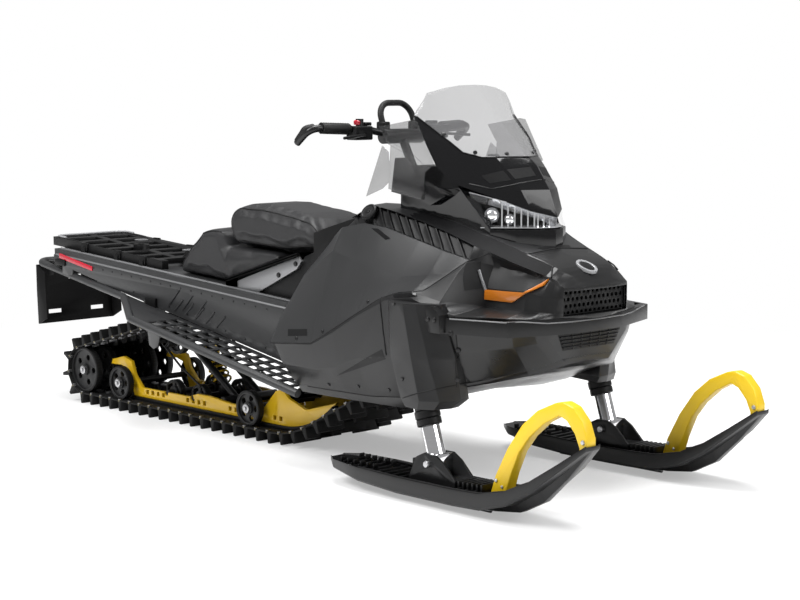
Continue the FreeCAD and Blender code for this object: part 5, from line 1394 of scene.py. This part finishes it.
@dataclass
class Tail(Assembly):
    """Tunnel, boards, rack, bumper tube, flap, hitch and tail lamp."""

    skins: tuple = (("running_boards", BOARD_GREY, 1.2), ("rear_bumper", TUBE_GREY, 1.0), ("snow_flap", FLAP, 1.5),
                    ("tail_lamp", LENS_RED, 2.0), ("tail_strips", LENS_RED, 1.0), ("tow_hitch", STEEL_DARK, 1.0))
    rack_corners: tuple = ((-1456, -60, 650), (-1458, -163, 650), (-1400, -166, 648), (-1290, -166, 640),
                           (-1270, -150, 636))

    def build(self) -> None:
        """Build and dress the pieces."""
        self.tunnel()
        super().build()

    def details(self) -> None:
        """Rack and fittings."""
        self.rack()
        self.fittings()

    @staticmethod
    def line(x: float) -> float:
        """Height of the tunnel's top face."""
        return 617 + (487 - 617) * (x + 1400) / 1948

    def tunnel(self) -> None:
        """Tunnel with its upper side edges folded at a slant, and light grey strips on the folds as a painted
        highlight.
        """

        def is_fold(edge: bmesh.types.BMEdge) -> bool:
            """Whether an edge is one of the two long upper ones."""
            ends = [v.co / MM for v in edge.verts]
            return all(abs(abs(e.y) - 215) < 1.5 and abs(e.z - self.line(e.x)) < 2 for e in ends)

        def fold(work: bmesh.types.BMesh) -> None:
            """Cut off the two long upper edges."""
            bmesh.ops.bevel(work, geom=[edge for edge in work.edges if is_fold(edge)], offset=29.0 * MM,
                            offset_type="OFFSET", segments=1, affect="EDGES")

        rounded_node("tunnel", TUNNEL_PAINT, 1.2, reshape=lambda piece: edit(piece, fold))
        # light grey strips on the slanted folds: a painted highlight
        rings = [[mm(x, y, self.line(x) + rise) for y, rise in ((-214.9, -29), (-215.3, -27), (-187, 1), (-185, -0.5))]
                 for x in (-1390, 60)]
        Batch().loft(rings).mirror().piece("tunnel_edges", PAINTED_HIGHLIGHT_GREY, width=0.8)

    def thin(self, piece: bpy.types.Object) -> None:
        """Lower the rack's top behind the seat, less towards its rear.

        Args:
            piece: The rack.
        """
        for vertex in piece.data.vertices:
            x = vertex.co.x / MM
            base = self.line(x) * MM
            if x < -780 and vertex.co.z > base + 2 * MM:
                vertex.co.z = base + (vertex.co.z - base) * (1.0 - 0.55 * (x + 1460) / 660)

    def rack(self) -> None:
        """Rack that thins towards its front, with a raised frame at its rear and a painted highlight along the frame's
        top, clips, and anchor plugs with light rings of painted highlight.
        """
        rounded_node("cargo_rack", BLACK, 3.0, reshape=self.thin)
        path = [mm(-1456, 0, 650)] + rounded([mm(*corner) for corner in self.rack_corners])
        Batch().tube(path, 7.5, 12, flat=0.8).mirror().piece("rack_frame", BLACK, angle=50)
        # light tube along the frame's top: a painted highlight
        rim_highlight = Batch().tube([p + Vector((0, 0, 0.008)) for p in path[:-6]], 4.5)
        rim_highlight.mirror().piece("rack_rim", TRIM_AND_HIGHLIGHT, angle=50)
        clips, caps = Batch(), Batch()
        for x in (-1236, -1015, -850):
            z = self.line(x) + 20
            clips.block(mm(x, -176, z), (40, 12, 34))
            clips.block(mm(x, -184, z - 18), (24, 8, 40))
        clips.mirror().piece("rack_clips", BLACK, width=2.5)
        # light grey rings on the black anchors: a painted highlight
        for x in (-1100, -790):
            caps.turned([(27, 0), (27, 2.5), (22, 4), (15, 4), (14, 1)], mm(x, 0, self.line(x) + 34 + 21), sides=32)
        caps.piece("anchor_rings", PAINTED_HIGHLIGHT_GREY, angle=30)

    def fittings(self) -> None:
        """Flap straps, tunnel rivets, blocks and swages."""
        straps = Batch()
        for y in (-120, 120):
            straps.block(mm(-1577, y, 512), (8, 34, 60))
            straps.turned([(13, -17), (13, 17)], mm(-1575, y, 546), LEFTWARD)
        straps.piece("flap_straps", BLACK, width=2.0)
        places = [(x, self.line(x) - 44) for x in range(-1370, -1370 + 22 * 62, 62)]
        places += [(x, 467 + (x + 904) * -0.1745 + 22) for x in range(-860, -860 + 10 * 112, 112)]
        spots = [spot for x, z in places for spot in both(x, 215.2, z)]
        repeat("tunnel_rivets", screw(3.6), spots, STEEL_DARK)
        blocks = Batch().block(mm(-742, -221, 446), (64, 12, 44)).block(mm(-1350, -219, 560), (70, 8, 26))
        blocks.mirror().piece("tunnel_blocks", BLACK, width=3.0)
        ribs = Batch()
        for n in range(5):
            x, z = -600 + n * 62, 432 - n * 10
            ribs.tube([mm(x, -215.5, z), mm(x + 52, -215.5, z + 44)], 4.0)
        ribs.mirror().piece("tunnel_swages", TUNNEL_PAINT, angle=60)


@dataclass
class Drive(Assembly):
    """Track, rails, wheels, arms, shock and drive axle. Circles are (x, z, radius) that the belt runs round."""

    circles: tuple = ((-1242.0, 134.3, 90.3), (-71.0, 464.0, 420.0), (407.0, 330.0, 82.3), (-738.0, 302.0, 60.3))
    pitches: int = 61
    skins: tuple = (("track", TRACK_RUBBER, 2.0), ("slide_rails", RAIL_YELLOW, 1.5), ("slide_shoes", BLACK, 1.0),
                    ("rear_idlers", WHEEL_PLASTIC, 1.2), ("guide_wheels", WHEEL_PLASTIC, 1.2),
                    ("suspension_arms", STEEL_DARK, 1.0), ("shocks", STEEL_DARK, 1.0), ("drive_axle", STEEL_DARK, 1.0))

    def details(self) -> None:
        """Track, wheel and spring details."""
        self.track_details()
        self.wheel_details()
        self.springs()

    def stations(self) -> list[tuple[float, float, float]]:
        """Places (x, z, heading) of the pitches along the belt's inner face.

        Returns:
            The places.
        """
        circles = list(self.circles)
        runs = []
        for (ax, az, ar), (bx, bz, br) in zip(circles, circles[1:] + circles[:1]):
            distance = math.hypot(bx - ax, bz - az)
            heading = math.atan2(bz - az, bx - ax) + math.asin((ar - br) / distance)
            out = (math.sin(heading), -math.cos(heading))
            runs.append(((ax + ar * out[0], az + ar * out[1]), (bx + br * out[0], bz + br * out[1]), heading))
        pieces = []
        for (start, end, heading), circle, after in zip(runs, circles[1:] + circles[:1], runs[1:] + runs[:1]):
            turn = (after[2] - heading) % TURN
            pieces += [(math.dist(start, end), start, heading, None), (turn * circle[2], end, heading, circle)]
        spacing = sum(piece[0] for piece in pieces) / self.pitches
        places = []
        for number in range(self.pitches):
            rest = number * spacing
            for length, start, heading, circle in pieces:
                if rest < length:
                    break
                rest -= length
            if circle is None:
                places.append((start[0] + rest * math.cos(heading), start[1] + rest * math.sin(heading), heading))
            else:
                now = heading + rest / circle[2]
                places.append((circle[0] + circle[2] * math.sin(now), circle[1] - circle[2] * math.cos(now), now))
        return places

    def track_details(self) -> None:
        """Steel clips in the belt's windows, drive lugs inside it and light rod ends at its edges."""
        clip = Batch().block(Vector(), (20, 22, 2.4))
        for x in (-9, 9):
            clip.block(mm(x, 0, 3), (3, 22, 6))
        lug = Batch().loft([[mm(-a, -b, z), mm(a, -b, z), mm(a, b, z), mm(-a, b, z)]
                            for a, b, z in ((14, 11, 0), (6, 7, 20))])
        rod_end = Batch().turned([(3.2, -2), (3.2, 1)], Vector(), LEFTWARD, 10)
        clips, lugs, rods = [], [], []
        for x, z, heading in self.stations():
            turn = Matrix.Rotation(-heading, 3, "Y")
            inward, along = turn @ UP, turn @ Vector((1, 0, 0))
            for y in (-135, 135, -196, 196):
                inner = abs(y) < 150
                place = mm(x, y, z) + inward * MM + along * 32 * MM * inner
                clips.append(Spot(place, turn, 1.0 if inner else 0.55))
            lugs += [Spot(mm(x, y, z), turn, 0.8) for y in (-62, 62)]
            rods += [Spot(mm(x, y, z) - inward * 3 * MM) for y in (-203, 203)]
        repeat("track_clips", clip, clips, EDGE_METAL)
        repeat("track_drive_lugs", lug, lugs, TRACK_RUBBER)
        repeat("track_rod_ends", rod_end, rods, ROD_ENDS)

    @staticmethod
    def wheel_details() -> None:
        """Tyres and axle caps of the wheels."""
        tyres, caps = Batch(), []
        wheels = [(-1242, 134.3, 90, y) for y in (-175, 175, -95, 95)] + [(-738, 302, 60, y) for y in (-95, 95)]
        wheels += [(x, 108.3, 64, y) for x in (-1005, -215) for y in (-175, 175)]
        wheels += [(x, 92.3, 48, y) for x in (-760, -600) for y in (-95, 95)]
        angles = [TURN * n / 48 for n in range(48)]
        for x, z, radius, y in wheels:
            profile = ((radius - 7, -13.4), (radius - 1.5, -13.4), (radius + 0.2, -11), (radius + 0.2, 11),
                       (radius - 1.5, 13.4), (radius - 7, 13.4))
            tyres.loft([[mm(x + r * math.cos(a), y + w, z + r * math.sin(a)) for a in angles] for r, w in profile],
                       closed=True)
            sign = 1 if y > 0 else -1
            if abs(y) > 150:
                caps.append(Spot(mm(x, y + sign * 22, z), aligned(Vector((0, sign, 0)))))
        tyres.piece("wheel_tyres", TRACK_RUBBER, angle=40)
        cap = Batch().turned([(17, -9), (17, -1), (13, 0.6), (11, 0.6)], Vector(), sides=28)
        cap.turned([(8, 0), (8, 5), (6.5, 6)], Vector(), sides=6)
        repeat("axle_caps", cap, caps, EDGE_METAL)

    @staticmethod
    def springs() -> None:
        """Wound springs on the shock and round the rear arm's shaft."""
        wires, coils = Batch(), Batch()
        low, high = mm(-563, 0, 112), mm(-706, 0, 290)
        way = (high - low).normalized()
        across = way.cross(LEFTWARD).normalized()
        start, room = low + way * 0.034, (high - low).length - 0.068
        winding = [start + way * room * n / 168 + (across * math.cos(TURN * n / 24) + LEFTWARD
                                                   * math.sin(TURN * n / 24)) * 32 * MM for n in range(169)]
        wires.tube(winding, 4.2)
        for sign in (-1, 1):
            points = [mm(-738 + 27 * math.cos(TURN * n / 20), sign * (112 + n * 9.5 / 20),
                         302 + 27 * math.sin(TURN * n / 20)) for n in range(101)]
            points += [mm(x, sign * 162, z) for x, z in ((-735, 276), (-640, 210), (-520, 150))]
            coils.tube(points, 4.4)
        wires.piece("shock_spring", RAIL_YELLOW, angle=50)
        coils.piece("torsion_springs", BLACK, angle=50)


@dataclass
class Skis(Assembly):
    """Both skis with their struts' legs and handle loops."""

    deck_line: tuple = ((516, 76), (570, 72), (700, 66), (880, 62), (1120, 62), (1230, 66), (1330, 88), (1420, 130),
                        (1510, 192), (1590, 258))        # (x, z)

    def build(self) -> None:
        """Build and dress the pieces."""
        for side in Side:
            body = "ski_" + side.word
            middle = 410 * side.value
            rounded_node(body + "_blade", SKI_PLASTIC, 2.0, body)
            rounded_node(body + "_loop", LOOP_YELLOW, 4.0, body, 3)
            rounded_node(body + "_leg", CHROME, 1.0, body)
            rounded_node(body + "_saddle", SKI_PLASTIC, 2.5, body, reshape=self.flatten)
            rounded_node(body + "_runner", CARBIDE, 1.0, body)
            self.deck(body, middle)
            self.fittings(body, middle)

    @staticmethod
    def flatten(saddle: bpy.types.Object) -> None:
        """Lower the saddle's rear end towards the deck.

        Args:
            saddle: The saddle.
        """
        for vertex in saddle.data.vertices:
            if vertex.co.x < 925 * MM:
                vertex.co.z = 62 * MM + (vertex.co.z - 62 * MM) * 0.35

    def deck_height(self, x: float) -> float:
        """Height of the ski's deck.

        Args:
            x: Place along the ski.

        Returns:
            The height.
        """
        for (ax, az), (bx, bz) in zip(self.deck_line, self.deck_line[1:]):
            if x <= bx:
                return az + (bz - az) * (x - ax) / (bx - ax)
        return self.deck_line[-1][1]

    def deck(self, body: str, middle: float) -> None:
        """Cross ribs and side beads on the deck.

        Args:
            body: The body they ride.
            middle: Y of the ski's middle.
        """
        ribs, height = Batch(), self.deck_height
        for x in range(600, 1500, 34):
            if not 880 < x < 1110 and not 1205 < x < 1290:
                half = 70 if 700 < x < 1350 else 48
                ribs.block(mm(x, middle, height(x) + 3), (7, 2 * half, 9))
        for sign in (-1, 1):
            ribs.tube([mm(x, middle + sign * (78 if x < 1400 else 60), height(x) + 9) for x in range(700, 1480, 30)],
                      4.5)
        for x in range(1104, 1104 + 6 * 19, 19):
            ribs.block(mm(x, middle, height(x) + 14), (8, 86, 26))
        for x in range(590, 590 + 6 * 30, 30):
            for y in (-40, 40):
                ribs.block(mm(x, middle + y, height(590) + 9), (6, 20, 16))
        ribs.piece(body + "_ribs", SKI_PLASTIC, body, 1.2)

    def fittings(self, body: str, middle: float) -> None:
        """Pivot bolt, loop bolts, studs and the rubber block behind the strut.

        Args:
            body: The body they ride.
            middle: Y of the ski's middle.
        """
        spots = []
        for x, z, size in ((1238, 108, 0.6), (1570, 268, 0.7), (1262, 92, 0.5)):
            spots += both(x, 20.4, z, size, middle)
        for pivot in both(978, 52, 122, 1.1, middle):
            spots.append(pivot)
            sign = 1 if pivot.place.y > middle * MM else -1
            spots += [Spot(mm(x, middle + sign * 62, self.deck_height(x) + 0.5), size=0.6)
                      for x in (640, 690, 790, 1160, 1350)]
        repeat(body + "_bolts", screw(10), spots, EDGE_METAL, body)
        rubber = Batch()
        rubber.loft([[mm(x, middle + y, z) for x, y in ((896, -32), (930 + (z - 88) * 0.3, -32),
                                                        (930 + (z - 88) * 0.3, 32), (896, 32))]
                     for z in (88, 112, 128)])
        rubber.piece(body + "_block", GRIP_RUBBER, body, 3.0)


@dataclass
class Steering(Assembly):
    """Handlebar with its grips, controls and grab strap."""

    body: str = STEERING
    skins: tuple = (("handlebar", STEEL_DARK, 1.0), ("grips", GRIP_RUBBER, 1.0), ("controls", BLACK, 1.5),
                    ("grab_strap", GRIP_RUBBER, 1.0))
    hook: tuple = ((337, -348, 1128), (331, -376, 1124), (318, -374, 1112), (290, -374, 1084))

    def details(self) -> None:
        """Grip and switch details."""
        self.grip_details()
        self.switches()

    def grip_details(self) -> None:
        """Ribs along the grips, and sleeves on the hooked bar ends."""
        rings = Batch()
        start, end = mm(363, -218, 1123), mm(346, -330, 1127)
        for n in range(12):
            rings.turned([(18.2, 0), (19, 1), (19, 3.5), (18.2, 4.5)], start + (end - start) * n / 12,
                         (end - start).normalized())
        rings.mirror().piece("grip_ribs", GRIP_RUBBER, STEERING, angle=40)
        path = rounded([mm(*corner) for corner in self.hook])
        Batch().tube(path, 13.6, 14).mirror().piece("bar_ends", GRIP_RUBBER, STEERING, angle=50)

    @staticmethod
    def switches() -> None:
        """Red stop button, toggle switches and strap feet."""
        button = Batch().turned([(14, 0), (15, 6), (15, 12), (12, 15.5), (4, 16.5)], mm(372, -182, 1136), sides=28)
        button.piece("stop_button", LENS_RED, STEERING, angle=35)
        blocks, feet = Batch(), Batch()
        for place, size in (((366, 168, 1140), (30, 34, 12)), ((364, -140, 1138), (28, 30, 12)),
                            ((345, 190, 1128), (18, 40, 10))):
            blocks.block(mm(*place), size)
        blocks.piece("switches", GLOSS, STEERING, 2.5)
        for y in (-74, 74):
            feet.block(mm(380, y, 1122), (40, 30, 46))
        feet.piece("strap_feet", BLACK, STEERING, 5, 3)


# Studio


@dataclass
class Studio:
    """Plain pale floor, soft light and the camera, in metres and degrees."""

    eye: Point = (4.875, -4.337, 1.2726)
    azimuth: float = 46.0
    dip: float = 6.72
    lens_pixels: float = 1839.0
    picture_width: float = 800.0
    sensor: float = 36.0
    floor_size: float = 60.0
    floor_glow: float = 0.38
    near: float = 1.9
    far: float = 3.6
    sky_strength: float = 0.36
    lamp_size: float = 4.0

    def build(self) -> None:
        """Make the camera, the floor, the world and the lamps."""
        self.camera()
        self.floor()
        self.world()
        self.lamp("key_lamp", (-1.0, -5.0, 6.0), 520.0)
        self.lamp("fill_lamp", (6.0, 1.5, 4.5), 230.0)
        self.lamp("top_lamp", (0.0, 0.5, 6.5), 460.0)
        bpy.context.scene.view_settings.view_transform = "Standard"

    def camera(self) -> None:
        """The camera at the photograph's viewing angle."""
        data = bpy.data.cameras.new("camera")
        data.sensor_width = self.sensor
        data.lens = self.sensor * self.lens_pixels / self.picture_width
        data.clip_end = 200.0
        camera = new_object("camera", data)
        turn, dip = math.radians(self.azimuth), math.radians(self.dip)
        ahead = Vector((-math.sin(turn) * math.cos(dip), math.cos(turn) * math.cos(dip), -math.sin(dip)))
        camera.location = self.eye
        camera.rotation_euler = ahead.to_track_quat("-Z", "Y").to_euler()
        bpy.context.scene.camera = camera

    def lamp(self, name: str, place: Point, power: float) -> None:
        """One soft lamp that points at the middle of the machine.

        Args:
            name: Name of the lamp.
            place: Its place.
            power: Its power in watts.
        """
        data = bpy.data.lights.new(name, "AREA")
        data.shape, data.size, data.energy = "DISK", self.lamp_size, power
        lamp = new_object(name, data)
        lamp.location = place
        lamp.rotation_euler = (Vector((0.2, 0.0, 0.4)) - Vector(place)).to_track_quat("-Z", "Y").to_euler()

    def floor(self) -> None:
        """Pale floor that glows a little for the camera and keeps the shadow."""
        half = self.floor_size / 2
        floor = mesh_from("floor", [(-half, -half, 0), (half, -half, 0), (half, half, 0), (-half, half, 0)],
                          [(0, 1, 2, 3)])
        material = bpy.data.materials.new("floor")
        graph = Graph(material)
        distance = (graph.axis("X") * graph.axis("X") + graph.axis("Y") * graph.axis("Y")).power(0.5)
        share = distance.ramp(self.near, self.far).at_least(self.floor_glow)
        matte = graph.node("ShaderNodeBsdfDiffuse", {}, {"Color": (0.9, 0.9, 0.9, 1.0)})
        glow = graph.node("ShaderNodeEmission", {}, {"Color": (1.0, 1.0, 1.0, 1.0), "Strength": 1.0})
        graph.surface(graph.node("ShaderNodeMixShader", {}, {0: graph.seen() * share, 1: graph.out(matte),
                                                             2: graph.out(glow)}))
        floor.data.materials.append(material)

    def world(self) -> None:
        """White surroundings that light the machine evenly."""
        world = bpy.data.worlds.new("world")
        bpy.context.scene.world = world
        graph = Graph(world, "ShaderNodeOutputWorld")
        strength = graph.node("ShaderNodeMix", {}, {0: graph.seen(), 2: self.sky_strength, 3: 1.0})
        sockets = {"Color": (1.0, 1.0, 1.0, 1.0), "Strength": graph.out(strength)}
        graph.surface(graph.node("ShaderNodeBackground", {}, sockets))


# The whole machine


def main() -> None:
    """Build and report every sub-assembly in order."""
    logging.basicConfig(level=logging.INFO, format="%(message)s")
    for part in (Studio(), Body(), Cowl(), Seat(), Tail(), Drive(), Skis(), Steering()):
        part.build()


if __name__ == "__main__":
    main()
